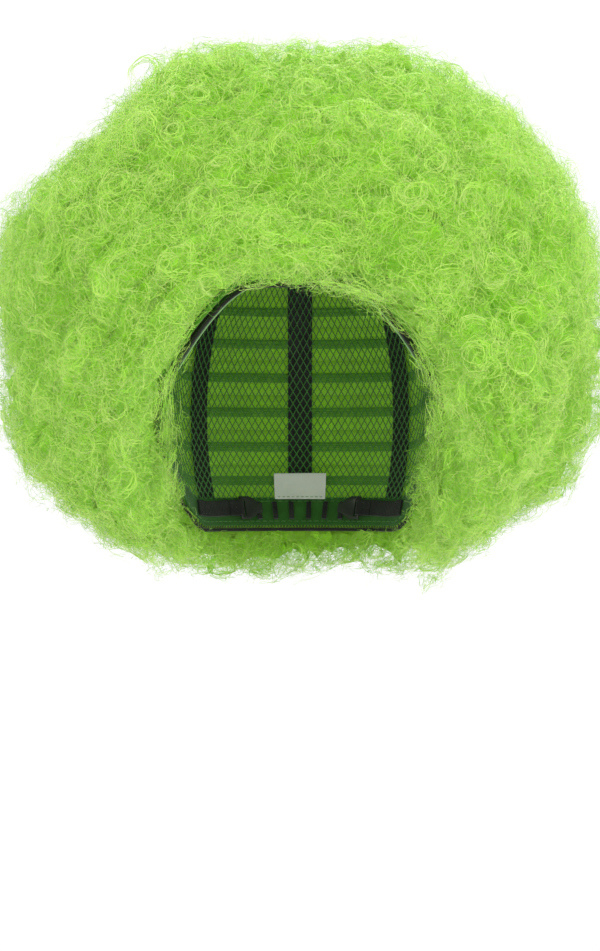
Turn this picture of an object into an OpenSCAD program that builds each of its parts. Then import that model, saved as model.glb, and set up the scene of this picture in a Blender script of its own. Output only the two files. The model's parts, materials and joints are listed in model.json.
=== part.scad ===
// Costume afro wig: a stretch cap of net, bands, ribbons and weft tracks, the hair sewn to it in
// rows, and two elastic adjusters at the nape. Millimetres, +Z up. The wearer faces -Y, left and
// right are the wearer's, and the origin is the centre of the head form at the height of the eyes.
// Angles: az runs round the head from the front (0) past the left side (90) to the back (180), and
// down runs from the crown (0) towards the neck.

/* [Head form] */
// Width of the head that the cap fits
head_w = 152; // [130:1:184]
// Length of the head, forehead to back
head_l = 192; // [166:1:230]
// Height of the crown above the origin
head_h = 112; // [95:1:134]

/* [Hair] */
// Overall width of the hair
hair_w = 316; // [264:1:380]
// Overall depth of the hair, front to back
hair_d = 286; // [264:1:344]
// Overall height of the full ball that the hair is cut from
hair_h = 280; // [262:1:336]
// How far the middle of the hair lies behind the head's centre
hair_back = 16; // [8:1:24]
// How far the middle of the hair lies above the head's centre
hair_up = 52; // [44:1:62]
// How square the hair's outline is, 2 being an ellipse
hair_square = 2.4; // [2:0.05:3]

/* [Cap edge] */
// Angle down from the crown to the edge at the forehead
rim_front = 56; // [50:1:62]
// Angle down from the crown to the edge above the ears
rim_ear = 85; // [80:1:90]
// Angle down from the crown to the edge at the nape
rim_nape = 122; // [116:1:126]
// Width of the bands along the edge
band_w = 17; // [12:0.5:21]
// Thickness of the bands
band_t = 1; // [0.8:0.05:1.3]
// Width of an ear tab
tab_w = 24; // [18:0.5:30]
// Length of an ear tab below the edge
tab_l = 20; // [15:0.5:25]
// Diameter of the elastic cord sewn into the edge
cord_d = 2; // [1.5:0.1:2.6]

/* [Net and ribbons] */
// Thickness of the stretch net
net_t = 0.6; // [0.4:0.05:0.9]
// Width of the ribbons that run up to the crown
ribbon_w = 13; // [9:0.5:16]
// Thickness of the ribbons
ribbon_t = 0.7; // [0.5:0.05:0.9]
// Diameter of the patch that closes the crown
patch_d = 36; // [30:1:44]

/* [Wefts] */
// Height of the sewn head of a weft
track_w = 5; // [3.5:0.25:6]
// Thickness of the sewn head of a weft
track_t = 1.5; // [1:0.1:1.8]

/* [Adjusters] */
// Width of the elastic straps
strap_w = 9; // [7:0.5:10.5]
// Thickness of the elastic straps
strap_t = 1.1; // [0.8:0.1:1.3]
// How far a hook travels as its strap is pulled
hook_travel = 18; // [15:0.5:21]
// Diameter of the bar that a hook swings on
bar_d = 1.7; // [1.4:0.1:2]
// Length of a hook from its bar to its nose
hook_l = 12; // [10.5:0.5:14]
// Thickness of a hook
hook_t = 1.5; // [1.2:0.1:1.8]
// Width of the size label
label_w = 26; // [20:1:32]

/* [Hidden] */
ROWS = 12;                 // rows of weft between the edge and the crown
TURN_STEPS = 48;           // columns round the head
TURN = 360 / TURN_STEPS;
GAP = 0.3;                 // air between layers that are sewn together
PIN_FIT = 0.05;            // radial clearance of a hook's bar in its strap
MOVING_GAP = 0.5;          // air round what moves
ROUND = 48;                // sides of a drawn circle

// Layers of the cap, as distances out from the head form.
band_in = 0.4;
band_out = band_in + band_t;
net_in = band_in;
net_out = net_in + net_t;
ribbon_in = max(band_out, net_out) + GAP;
ribbon_out = ribbon_in + ribbon_t;
track_in = ribbon_out + 2 * GAP;
track_out = track_in + track_t;
hair_in = track_out + 2 * GAP;
edge_flare = 2.5;          // extra room between the hair's lowest edge and the ear tabs
lining_t = 0.8;
lining_out = band_in - GAP;
lining_in = lining_out - lining_t;

// Azimuths where the pieces of the edge meet, and the seams left between them.
front_end = 63;            // end of the front band
tab_mid = 72;              // middle of an ear tab
nape_start = 103;          // start of the nape band
seam = 0.4;                // angle between the bands' ends
seam_gap = 1;              // air between the bands and the net's edge
crown_share = 0.93;        // share of the way to the crown that the rows fill

// Adjusters, on the inner face of the nape band.
strap_start = 126;         // azimuth of the end sewn to the band
strap_lie = 6;             // turn over which a strap lies along the band before it leaves it
hook_start = 150;          // azimuth of a hook's bar when its strap is relaxed
tab_long = 5;              // flat tail of a strap's end, behind its fold
fold_wall = 0.8;           // elastic round the bar
loop_count = 3;
loop_h = 2;                // height of a loop off the band
loop_t = 0.7;              // thickness of a loop
loop_long = 2.6;           // size of a loop along the band
nose_w = 5;                // width of a hook's nose
nose_t = 1.4;              // thickness of a hook's nose
label_h = 15;              // height of the size label
label_t = 0.5;
bar_r = bar_d / 2;
fold_r = bar_r + PIN_FIT + fold_wall;
bar_off = band_in - loop_h - MOVING_GAP - fold_r;

// Ribbons and the azimuth of each.
RIBBONS = [["ribbon_front", 0], ["ribbon_front_left", 45], ["ribbon_left", 90],
           ["ribbon_back_left", 135], ["ribbon_back", 180], ["ribbon_back_right", 225],
           ["ribbon_right", 270], ["ribbon_front_right", 315]];
function row_name(prefix, k) = str(prefix, k < 10 ? "0" : "", k);

hair_green = [0.55, 0.82, 0.25];
cap_green = [0.16, 0.36, 0.12];
net_green = [0.22, 0.45, 0.16];
weft_green = [0.42, 0.68, 0.2];
lining_green = [0.56, 0.74, 0.5];
elastic_black = [0.06, 0.06, 0.06];
label_white = [0.93, 0.93, 0.9];

// ---- Shapes of the head, the cap edge and the hair ----

function ease(x) = let (t = min(1, max(0, x))) t * t * (3 - 2 * t);
function step_up(a, from, to) = ease((a - from) / (to - from));
function half_turn(az) = let (a = abs(az) % 360) a > 180 ? 360 - a : a;

function unit(v) = v / norm(v);

// Point at a distance off the head form.
function on_head(az, down, off) =
    [(head_w / 2 + off) * sin(down) * sin(az),
     -(head_l / 2 + off) * sin(down) * cos(az),
     (head_h + off) * cos(down)];
function head_normal(p) =
    unit([p.x / pow(head_w / 2, 2), p.y / pow(head_l / 2, 2), p.z / pow(head_h, 2)]);

// Angles that a length takes up on the head: down its side, and round it at a place.
function angle_of(length) = length / head_h * 180 / PI;
function turn_of(az, down, length) =
    length / (sin(down) * norm([head_w / 2 * cos(az), head_l / 2 * sin(az)])) * 180 / PI;
// Azimuth of a point on or near the head form.
function az_of(p) = atan2(p.x / head_w, -p.y / head_l);

// The cap's edge: high on the forehead, over the ears, low on the nape.
function rim(az) = let (a = half_turn(az))
    rim_front + (rim_ear - rim_front) * step_up(a, 20, 72)
    + (rim_nape - rim_ear) * step_up(a, 92, 130);
function band_mid(az) = rim(az) - angle_of(band_w) / 2;

// The hair's outer edge, as an angle from the middle of the hair. At the ears it hangs a length
// below that middle and tucks in under the widest part of the head.
hair_edge_front = 85;
hair_tuck = 8.81;
hair_hang = 148;
hair_edge_side = 180 - asin((head_w / 2 - hair_tuck) / hair_hang);
hair_edge_back = 158;
function hair_rim(az) = let (a = half_turn(az))
    hair_edge_front + (hair_edge_side - hair_edge_front) * step_up(a, 12, 78)
    + (hair_edge_back - hair_edge_side) * step_up(a, 78, 150);

function on_hair(az, down) =
    let (n = [sin(down) * sin(az), -sin(down) * cos(az), cos(down)],
         r = pow(pow(abs(n.x) / (hair_w / 2), hair_square)
                 + pow(abs(n.y) / (hair_d / 2), hair_square)
                 + pow(abs(n.z) / (hair_h / 2), hair_square), -1 / hair_square))
    [0, hair_back, hair_up] + r * n;

// share runs from 0 at the edge to 1 at the crown.
function cap_point(az, share, off) = on_head(az, rim(az) * (1 - share), off);
function hair_point(az, share) = on_hair(az, hair_rim(az) * (1 - share));

// ---- Closed solids from grids of points ----

// A solid between an inner and an outer grid. Each grid is a list of columns, each column a list
// of points from the edge up. A ring's last column meets its first; a dome is a ring that closes
// at its two poles.
module wall(inner, outer, ring = false, poles = []) {
    n = len(inner);
    m = len(inner[0]);
    function at(i, j, k) = k * n * m + (i % n) * m + j;
    points = concat([for (c = inner) each c], [for (c = outer) each c], poles);
    in_pole = 2 * n * m;
    out_pole = in_pole + 1;
    columns = [0:(ring ? n - 1 : n - 2)];
    rows = [0:m - 2];
    faces = concat(
        [for (i = columns, j = rows) each [
            [at(i, j, 1), at(i + 1, j + 1, 1), at(i + 1, j, 1)],
            [at(i, j, 1), at(i, j + 1, 1), at(i + 1, j + 1, 1)],
            [at(i, j, 0), at(i + 1, j, 0), at(i + 1, j + 1, 0)],
            [at(i, j, 0), at(i + 1, j + 1, 0), at(i, j + 1, 0)]]],
        [for (i = columns) each [
            [at(i, 0, 0), at(i + 1, 0, 1), at(i + 1, 0, 0)],
            [at(i, 0, 0), at(i, 0, 1), at(i + 1, 0, 1)]]],
        [for (i = columns) each len(poles) > 0
            ? [[at(i, m - 1, 1), out_pole, at(i + 1, m - 1, 1)],
               [at(i, m - 1, 0), at(i + 1, m - 1, 0), in_pole]]
            : [[at(i, m - 1, 0), at(i + 1, m - 1, 0), at(i + 1, m - 1, 1)],
               [at(i, m - 1, 0), at(i + 1, m - 1, 1), at(i, m - 1, 1)]]],
        ring ? [] : [for (j = rows) each [
            [at(0, j, 0), at(0, j + 1, 1), at(0, j, 1)],
            [at(0, j, 0), at(0, j + 1, 0), at(0, j + 1, 1)],
            [at(n - 1, j, 0), at(n - 1, j, 1), at(n - 1, j + 1, 1)],
            [at(n - 1, j, 0), at(n - 1, j + 1, 1), at(n - 1, j + 1, 0)]]]);
    polyhedron(points = points, faces = faces, convexity = 6);
}

// A band on the head form, between two angles down that are given for each azimuth.
module head_band(azimuths, low, high, rows, off_in, off_out, ring = false) {
    function column(i, off) = [for (j = [0:rows])
        on_head(azimuths[i], low[i] + (high[i] - low[i]) * j / rows, off)];
    wall([for (i = [0:len(azimuths) - 1]) column(i, off_in)],
         [for (i = [0:len(azimuths) - 1]) column(i, off_out)], ring);
}

function span(from, to, steps) = [for (i = [0:steps]) from + (to - from) * i / steps];
all_round = [for (i = [0:TURN_STEPS - 1]) i * TURN];

// ---- Cap ----

// Stretch net over the whole head, from the upper edge of the bands to the crown.
module crown_net() {
    rows = 16;
    function downs(a) = let (low = rim(a) - angle_of(band_w + seam_gap))
        [for (j = [0:rows - 1]) low * (1 - j / rows)];
    color(net_green)
    wall([for (a = all_round) [for (d = downs(a)) on_head(a, d, net_in)]],
         [for (a = all_round) [for (d = downs(a)) on_head(a, d, net_out)]],
         ring = true, poles = [[0, 0, head_h + net_in], [0, 0, head_h + net_out]]);
}

// Angle from the crown to the edge of the patch.
patch_reach = patch_d / head_w * 180 / PI;

// Round patch that closes the crown, where the ribbons end.
module crown_patch() {
    rings = span(patch_reach, patch_reach * 0.35, 2);
    color(cap_green)
    wall([for (a = all_round) [for (d = rings) on_head(a, d, ribbon_in)]],
         [for (a = all_round) [for (d = rings) on_head(a, d, ribbon_out)]],
         ring = true, poles = [[0, 0, head_h + ribbon_in], [0, 0, head_h + ribbon_out]]);
}

// A stretch of band along the cap's edge.
module edge_band(from, to, steps, off_in = band_in, off_out = band_out, width = band_w) {
    azimuths = span(from, to, steps);
    head_band(azimuths, [for (a = azimuths) rim(a)],
              [for (a = azimuths) rim(a) - angle_of(width)], 2, off_in, off_out);
}

module front_band() color(cap_green) edge_band(-front_end, front_end, 24);

// Soft strip inside the front band, against the forehead.
lining_inset = 6;          // angle by which the strip is shorter at each end
lining_narrower = 5;       // how much narrower than the band it is
module forehead_lining()
    color(lining_green)
    edge_band(-front_end + lining_inset, front_end - lining_inset, 22,
              lining_in, lining_out, band_w - lining_narrower);

module nape_band() color(cap_green) edge_band(nape_start, 360 - nape_start, 44);

// Half of an ear tab, as an angle of azimuth.
tab_half = turn_of(tab_mid, rim_ear, tab_w / 2);

// Band over the ear, from the ear tab to the nape band.
module side_band_left()
    color(cap_green) edge_band(tab_mid + tab_half + seam, nape_start - seam, 4);

// Tongue of band in front of the ear, rounded at its lower end.
module ear_tab_left() {
    steps = 12;
    roundness = 2.6;
    azimuths = span(max(tab_mid - tab_half, front_end + seam), tab_mid + tab_half, steps);
    middle = (azimuths[0] + azimuths[steps]) / 2;
    half = (azimuths[steps] - azimuths[0]) / 2;
    function drop(a) =
        angle_of(tab_l) * sqrt(max(0, 1 - pow(abs(a - middle) / half, roundness)));
    color(cap_green)
    head_band(azimuths, [for (a = azimuths) rim(a) + drop(a)],
              [for (a = azimuths) rim(a) - angle_of(band_w)], 4, band_in, band_out);
}

// Elastic cord in the fold of the edge, a closed loop round the whole cap.
module edge_elastic() {
    sides = 8;
    r = cord_d / 2;
    off = band_out + GAP + r;
    below = angle_of(r + 2 * GAP);
    function middle(a) = on_head(a, rim(a) + below, off);
    // A ring of points square to the cord.
    function ring_of(a) = let (
        along = unit(middle(a + 1) - middle(a - 1)),
        out = head_normal(middle(a)),
        across = unit(cross(along, out)))
        [for (k = [0:sides - 1])
            middle(a) + r * (cos(360 * k / sides) * out + sin(360 * k / sides) * across)];
    points = [for (a = all_round) each ring_of(a)];
    function at(i, k) = (i % TURN_STEPS) * sides + k % sides;
    faces = [for (i = [0:TURN_STEPS - 1], k = [0:sides - 1]) each [
        [at(i, k), at(i + 1, k), at(i + 1, k + 1)],
        [at(i, k), at(i + 1, k + 1), at(i, k + 1)]]];
    color(elastic_black) polyhedron(points = points, faces = faces, convexity = 6);
}

// Ribbon from the edge band up to the crown patch, the wefts being sewn across it.
module ribbon(az) {
    steps = 20;
    top = patch_reach + angle_of(3);
    function column(side, off) =
        let (low = rim(az + side * turn_of(az, rim(az), ribbon_w / 2)) - angle_of(1))
        [for (d = span(low, top, steps)) on_head(az + side * turn_of(az, d, ribbon_w / 2), d, off)];
    color(elastic_black)
    wall([for (side = [-1, 0, 1]) column(side, ribbon_in)],
         [for (side = [-1, 0, 1]) column(side, ribbon_out)]);
}

// ---- Wefts: the sewn track of each row and the hair that grows from it ----

function row_share(k) = crown_share * k / ROWS;

module weft_track(k) {
    middle = (row_share(k - 1) + row_share(k)) / 2;
    function downs(a) = let (mid = rim(a) * (1 - middle), half = angle_of(track_w) / 2)
        [mid + half, mid - half];
    color(weft_green)
    wall([for (a = all_round) [for (d = downs(a)) on_head(a, d, track_in)]],
         [for (a = all_round) [for (d = downs(a)) on_head(a, d, track_out)]], ring = true);
}

module weft_hair(k) {
    shares = span(row_share(k - 1), row_share(k), 2);
    color(hair_green * (0.9 + 0.1 * (k % 2)))
    wall([for (a = all_round) [for (s = shares)
              cap_point(a, s, hair_in + (s == 0 ? edge_flare : 0))]],
         [for (a = all_round) [for (s = shares) hair_point(a, s)]], ring = true);
}

// Hair of the crown patch, which closes the top.
module crown_hair() {
    shares = span(crown_share, crown_share + 0.6 * (1 - crown_share), 1);
    color(hair_green)
    wall([for (a = all_round) [for (s = shares) cap_point(a, s, hair_in)]],
         [for (a = all_round) [for (s = shares) hair_point(a, s)]],
         ring = true, poles = [[0, 0, head_h + hair_in], on_hair(0, 0)]);
}

// ---- Adjusters, drawn for the +X side; the other side mirrors them ----

// A hook's bar, and the straight way it is pulled, which stays clear of the band to its end.
bar_place = on_head(hook_start, band_mid(hook_start), bar_off);
reach_end = hook_start + turn_of(hook_start, band_mid(hook_start), hook_travel + hook_l);
reach_off = bar_off - 2 * MOVING_GAP;         // the last loop stands square to the band, not to the pull
reach = on_head(reach_end, band_mid(reach_end), reach_off) - bar_place;
pull = unit([reach.x, reach.y, 0]);
pull_heading = atan2(pull.y, pull.x);
lean = -asin(head_normal(bar_place).z);       // how far the bar leans with the band
bar_up = [sin(pull_heading) * sin(lean), -cos(pull_heading) * sin(lean), cos(lean)];
bar_inward = cross(bar_up, pull);

// Local frame of a hook: X the way it is pulled, Y in towards the head, Z up along its bar.
module at_bar() translate(bar_place) rotate([0, 0, pull_heading]) rotate([lean, 0, 0]) children();

// Local frame on the inner face of the nape band: X along it, Y in towards the head, Z up.
module on_band(az) {
    foot = on_head(az, band_mid(az), band_in - GAP);
    out = head_normal(foot);
    translate(foot) rotate([0, 0, atan2(out.y, out.x) + 90]) rotate([-asin(out.z), 0, 0])
    children();
}

// Elastic strap from its sewn end to the fold that holds the hook.
module strap_left() {
    sewn_off = band_in - 2 * GAP - strap_t / 2;
    sewn = on_head(strap_start, band_mid(strap_start), sewn_off);
    tail = bar_place - (fold_r + tab_long + GAP) * pull;
    onward = unit(on_head(strap_start + strap_lie, band_mid(strap_start + strap_lie), sewn_off) - sewn);
    sewn_in = -head_normal(sewn);
    sewn_up = unit(cross(onward, sewn_in));
    third = norm(tail - sewn) / 3;
    function path(t) = pow(1 - t, 3) * sewn + 3 * pow(1 - t, 2) * t * (sewn + third * onward)
        + 3 * (1 - t) * t * t * (tail - third / 2 * pull) + pow(t, 3) * tail;
    function blend(t, from, to) = unit((1 - t) * from + t * to);
    function column(t, side) = [for (edge = [-1, 1])
        path(t) + edge * strap_w / 2 * blend(t, sewn_up, bar_up)
        + side * strap_t / 2 * blend(t, sewn_in, bar_inward)];
    times = span(0, 1, 10);
    color(elastic_black)
    wall([for (t = times) column(t, 1)], [for (t = times) column(t, -1)]);
}

// End of the strap, folded round the hook's bar and sewn.
module strap_end_left()
    color(elastic_black)
    at_bar() difference() {
        union() {
            cylinder(r = fold_r, h = strap_w, center = true, $fn = ROUND);
            translate([-(fold_r + tab_long) / 2, 0, 0])
            cube([fold_r + tab_long, strap_t, strap_w], center = true);
        }
        cylinder(r = bar_r + PIN_FIT, h = 2 * strap_w, center = true, $fn = ROUND);
    }

// Flat hook that swings on its bar: two arms, a plate and a nose turned towards the band.
module hook_left() {
    arm = 1.6;
    arm_in = strap_w / 2 + MOVING_GAP;
    arm_out = arm_in + arm;
    plate = fold_r + MOVING_GAP;
    plate_side = 2.6;
    tip = hook_l - nose_t;
    color(elastic_black)
    at_bar() {
        cylinder(r = bar_r, h = 2 * arm_out, center = true, $fn = ROUND);
        for (side = [-1, 1])
            translate([0, -hook_t / 2, side > 0 ? arm_in : -arm_out])
            cube([plate + arm / 2, hook_t, arm]);
        rotate([90, 0, 0])
        linear_extrude(hook_t, center = true)
        polygon([[plate, -arm_out], [plate + plate_side, -arm_out], [tip, -nose_w / 2],
                 [hook_l, -nose_w / 2], [hook_l, nose_w / 2], [tip, nose_w / 2],
                 [plate + plate_side, arm_out], [plate, arm_out]]);
        translate([tip, -fold_r, -nose_w / 2]) cube([nose_t, fold_r, nose_w]);
    }
}

// Loops that a hook can be caught on, sewn to the band one pitch apart.
module loops_left() {
    pitch = hook_travel / (loop_count - 1);
    wide = strap_w + 1;
    tall = loop_h - GAP;
    color(elastic_black)
    for (i = [0:loop_count - 1])
        on_band(az_of(bar_place + (hook_l - nose_t / 2 + i * pitch) * pull))
        difference() {
            translate([-loop_long / 2, 0, -wide / 2]) cube([loop_long, tall, wide]);
            translate([-loop_long, -loop_t, loop_t - wide / 2])
            cube([2 * loop_long, tall, wide - 2 * loop_t]);
        }
}

// Blank woven label at the middle of the back, its lower end sewn to the nape band.
module size_label() {
    half = turn_of(180, rim_nape, label_w / 2);
    sewn = rim_nape - angle_of(band_w - GAP * 5);
    azimuths = span(180 - half, 180 + half, 6);
    label_out = band_in - 2 * GAP;
    color(label_white)
    head_band(azimuths, [for (a = azimuths) sewn],
              [for (a = azimuths) sewn - angle_of(label_h)], 3, label_out - label_t, label_out);
}

module other_side() mirror([1, 0, 0]) children();

crown_net();
crown_patch();
front_band();
forehead_lining();
nape_band();
side_band_left();
other_side() side_band_left();  // side_band_right
ear_tab_left();
other_side() ear_tab_left();  // ear_tab_right
edge_elastic();
for (r = RIBBONS)
    ribbon(r[1]);
for (k = [1:ROWS]) {
    weft_track(k);
    weft_hair(k);
}
crown_hair();
strap_left();
other_side() strap_left();  // strap_right
strap_end_left();
other_side() strap_end_left();  // strap_end_right
hook_left();
other_side() hook_left();  // hook_right
loops_left();
other_side() loops_left();  // loops_right
size_label();
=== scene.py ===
"""Costume afro wig in bright green: frizzy hair on a sewn cap with two hook adjusters."""

import json
import logging
import math
from collections.abc import Callable, Iterator, Sequence
from contextlib import contextmanager
from dataclasses import dataclass, field
from enum import Enum

import bpy
import numpy as np
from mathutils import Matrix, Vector

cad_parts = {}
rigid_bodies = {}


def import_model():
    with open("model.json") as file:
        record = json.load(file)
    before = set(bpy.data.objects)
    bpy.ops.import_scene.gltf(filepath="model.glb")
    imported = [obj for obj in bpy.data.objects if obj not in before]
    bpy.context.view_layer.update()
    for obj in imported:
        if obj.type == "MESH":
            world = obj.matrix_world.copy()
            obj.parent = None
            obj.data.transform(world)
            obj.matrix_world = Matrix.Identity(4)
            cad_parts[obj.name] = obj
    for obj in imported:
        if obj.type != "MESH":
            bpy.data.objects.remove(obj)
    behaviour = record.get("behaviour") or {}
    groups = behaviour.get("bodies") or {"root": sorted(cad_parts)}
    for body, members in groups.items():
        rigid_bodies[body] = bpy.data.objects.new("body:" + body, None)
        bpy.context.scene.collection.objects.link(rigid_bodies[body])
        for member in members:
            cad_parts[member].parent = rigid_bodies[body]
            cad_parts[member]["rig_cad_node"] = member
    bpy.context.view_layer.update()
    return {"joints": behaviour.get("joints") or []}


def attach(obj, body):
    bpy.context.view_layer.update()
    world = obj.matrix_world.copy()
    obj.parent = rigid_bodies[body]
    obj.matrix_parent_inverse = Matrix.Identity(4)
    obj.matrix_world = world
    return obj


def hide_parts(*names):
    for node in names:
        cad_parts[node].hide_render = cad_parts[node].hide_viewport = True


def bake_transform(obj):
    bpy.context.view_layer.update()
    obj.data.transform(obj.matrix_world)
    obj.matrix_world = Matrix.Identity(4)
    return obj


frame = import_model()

MM = 0.001
ROWS = 12
CROWN_SHARE = 0.93
SHADE_BINS = 32
# The bake map's second coordinate: strands from root to tip, a tube's ends, and the undercoat below.
STRAND_LOW, STRAND_HIGH, CAP_HEIGHT = 0.26, 0.98, 0.01
CORE_LOW, CORE_SPAN = 0.02, 0.2
log = logging.getLogger("wig")

Array = np.ndarray
Colour = tuple[float, float, float]
NO_TRIANGLES = np.empty((0, 3), int)
EDGE_STEPS = 2
TURNED_EDGE = 0.3
MERGE_REACH = 1e-6
POLE_REACH = 1e-7
# A stitch dips into the cloth at its ends: shares of its length along it, and of its radius off it.
STITCH_ALONG = np.array([-0.5, -0.22, 0.22, 0.5])
STITCH_LIFT = np.array([-0.9, 0.7, 0.7, -0.9])


class Side(Enum):
    """The wearer's side of the head, as the sign of X."""

    LEFT = 1
    RIGHT = -1

    @property
    def word(self) -> str:
        """The side as it stands in the names of pieces."""
        return self.name.lower()


# ---- The forms that the cap and the hair follow ----


def ease(value: Array) -> Array:
    """Smooth step of a value held between 0 and 1."""
    held = np.clip(value, 0.0, 1.0)
    return held * held * (3 - 2 * held)


def step_up(angle: Array, start: float, end: float) -> Array:
    """Smooth rise from 0 at the start angle to 1 at the end angle."""
    return ease((angle - start) / (end - start))


def half_turn(azimuth: Array) -> Array:
    """Azimuth folded to 0..180 degrees, 0 at the face."""
    folded = np.mod(np.abs(azimuth), 360.0)
    return np.where(folded > 180.0, 360.0 - folded, folded)


def unit(vectors: Array) -> Array:
    """Vectors scaled to length 1 along the last axis."""
    return vectors / np.maximum(np.linalg.norm(vectors, axis=-1, keepdims=True), 1e-12)


@dataclass(frozen=True)
class HeadForm:
    """Head form and outer form of the hair, with the sizes of the CAD source in metres and degrees.

    The rim's and the hair's turns are the azimuths where an edge starts or stops to drop.
    """

    half_width: float = 0.076
    half_length: float = 0.096
    height: float = 0.112
    rim_front: float = 56.0
    rim_ear: float = 85.0
    rim_nape: float = 122.0
    band_width: float = 0.017
    hair_half: tuple[float, float, float] = (0.158, 0.143, 0.140)
    hair_middle: tuple[float, float, float] = (0.0, 0.016, 0.052)
    hair_square: float = 2.4
    hair_front: float = 85.0
    hair_side: float = 153.0
    hair_back: float = 158.0
    face_middle: float = -0.020
    face_half: tuple[float, float] = (0.071, 0.083)
    face_square: float = 2.6
    face_core: float = 0.2
    face_fade: tuple[float, float] = (-0.01, 0.03)
    rim_turns: tuple[float, float, float, float] = (20.0, 72.0, 92.0, 130.0)
    hair_turns: tuple[float, float, float] = (12.0, 78.0, 150.0)

    def point(self, azimuth: Array, down: Array, off: Array) -> Array:
        """Point at a distance off the head form.

        Args:
            azimuth: Degrees round the head, 0 at the face.
            down: Degrees down from the crown.
            off: Distance off the form in metres.

        Returns:
            Points with a last axis of three.
        """
        azimuth, down, off = np.broadcast_arrays(azimuth, down, off)
        a, d = np.radians(azimuth), np.radians(down)
        return np.stack(
            [
                (self.half_width + off) * np.sin(d) * np.sin(a),
                -(self.half_length + off) * np.sin(d) * np.cos(a),
                (self.height + off) * np.cos(d),
            ],
            axis=-1,
        )

    def normal(self, points: Array) -> Array:
        """Outward normal of the head form at points on or near it."""
        return unit(points / np.array([self.half_width, self.half_length, self.height]) ** 2)

    def rim(self, azimuth: Array) -> Array:
        """Angle down to the cap's edge.

        Args:
            azimuth: Degrees round the head, 0 at the face.

        Returns:
            Degrees down from the crown.
        """
        a = half_turn(azimuth)
        brow, ear_front, ear_back, nape = self.rim_turns
        return (
            self.rim_front
            + (self.rim_ear - self.rim_front) * step_up(a, brow, ear_front)
            + (self.rim_nape - self.rim_ear) * step_up(a, ear_back, nape)
        )

    def hair_rim(self, azimuth: Array) -> Array:
        """Angle down to the hair's lowest edge, from the middle of the hair.

        Args:
            azimuth: Degrees round the head, 0 at the face.

        Returns:
            Degrees down from straight up.
        """
        a = half_turn(azimuth)
        front, side, back = self.hair_turns
        return (
            self.hair_front
            + (self.hair_side - self.hair_front) * step_up(a, front, side)
            + (self.hair_back - self.hair_side) * step_up(a, side, back)
        )

    def angle_of(self, length: float) -> float:
        """Angle down the head that a length takes up."""
        return math.degrees(length / self.height)

    def turn_of(self, azimuth: float, down: float, length: float) -> float:
        """Angle round the head that a length takes up at a place.

        Args:
            azimuth: Degrees round the head, 0 at the face.
            down: Degrees down from the crown.
            length: Length round the head in metres.

        Returns:
            The angle in degrees.
        """
        a, d = math.radians(azimuth), math.radians(down)
        radius = math.sin(d) * math.hypot(self.half_width * math.cos(a), self.half_length * math.sin(a))
        return math.degrees(length / radius)

    def cap_point(self, azimuth: Array, share: Array, off: Array) -> Array:
        """Point over the cap, share running from 0 at its edge to 1 at the crown."""
        return self.point(azimuth, self.rim(azimuth) * (1 - np.asarray(share)), off)

    def hair_point(self, azimuth: Array, share: Array) -> Array:
        """Point on the outer form of the hair.

        Args:
            azimuth: Degrees round the head, 0 at the face.
            share: Share of the way up, 0 at the hair's lowest edge and 1 at the top.

        Returns:
            Points with a last axis of three.
        """
        azimuth, share = np.broadcast_arrays(azimuth, share)
        a = np.radians(azimuth)
        d = np.radians(self.hair_rim(azimuth) * (1 - share))
        n = np.stack([np.sin(d) * np.sin(a), -np.sin(d) * np.cos(a), np.cos(d)], axis=-1)
        return np.array(self.hair_middle) + n * self.hair_reach(n)[..., None]

    def hair_reach(self, directions: Array) -> Array:
        """Distance from the middle of the hair to its outer form along directions."""
        e = self.hair_square
        return (np.abs(directions / np.array(self.hair_half)) ** e).sum(axis=-1) ** (-1 / e)

    def hair_height(self, points: Array) -> Array:
        """Distance of points outside the hair's outer form.

        Args:
            points: Points near the hair.

        Returns:
            The distances in metres, below 0 inside the form.
        """
        from_middle = points - np.array(self.hair_middle)
        far = np.maximum(np.linalg.norm(from_middle, axis=-1), 1e-9)
        return far - self.hair_reach(from_middle / far[..., None])

    def clear_of_face(self, points: Array, soft: Array) -> Array:
        """Moves points in front of the ears out of the opening for the face.

        Args:
            points: Points of the hair.
            soft: Share of their way into the opening that they keep.

        Returns:
            The points, moved outward where they stood in the opening.
        """
        over = points - np.array([0.0, 0.0, self.face_middle])
        high = np.maximum(over[..., 2], 0.0) / self.face_half[1]
        wide = np.abs(over[..., 0]) / self.face_half[0]
        inside = (wide ** self.face_square + high ** self.face_square) ** (1 / self.face_square)
        kept = np.maximum(inside, self.face_core)
        scale = np.where(inside < 1, (1 - soft * (1 - kept)) / kept, 1.0)
        fade_start, fade_length = self.face_fade
        share = ease((fade_start - points[..., 1]) / fade_length)
        moved = points.copy()
        moved[..., 0] += (scale - 1) * over[..., 0] * share
        moved[..., 2] += (scale - 1) * np.maximum(over[..., 2], 0.0) * share
        return moved

    def hair_normal(self, points: Array) -> Array:
        """Outward normal of the hair's outer form.

        Args:
            points: Points near the form.

        Returns:
            Unit vectors, one for each point.
        """
        scaled = (points - np.array(self.hair_middle)) / np.array(self.hair_half)
        e = self.hair_square
        return unit(np.sign(scaled) * np.abs(scaled) ** (e - 1) / np.array(self.hair_half))


HEAD = HeadForm()


# ---- Mesh making ----


def nothing_selected() -> None:
    """Deselects every object, the CAD nodes among them."""
    bpy.ops.object.select_all(action="DESELECT")


def only(piece: bpy.types.Object) -> None:
    """Selects one piece and makes it active.

    Args:
        piece: The piece.
    """
    nothing_selected()
    piece.select_set(True)
    bpy.context.view_layer.objects.active = piece


@contextmanager
def whole_mesh_open(piece: bpy.types.Object) -> Iterator[None]:
    """Opens a piece for mesh operators, with all of its mesh selected.

    Args:
        piece: The piece.

    Yields:
        Nothing; the piece closes again when the block ends.
    """
    only(piece)
    bpy.ops.object.mode_set(mode="EDIT")
    bpy.ops.mesh.select_all(action="SELECT")
    yield
    bpy.ops.object.mode_set(mode="OBJECT")


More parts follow.
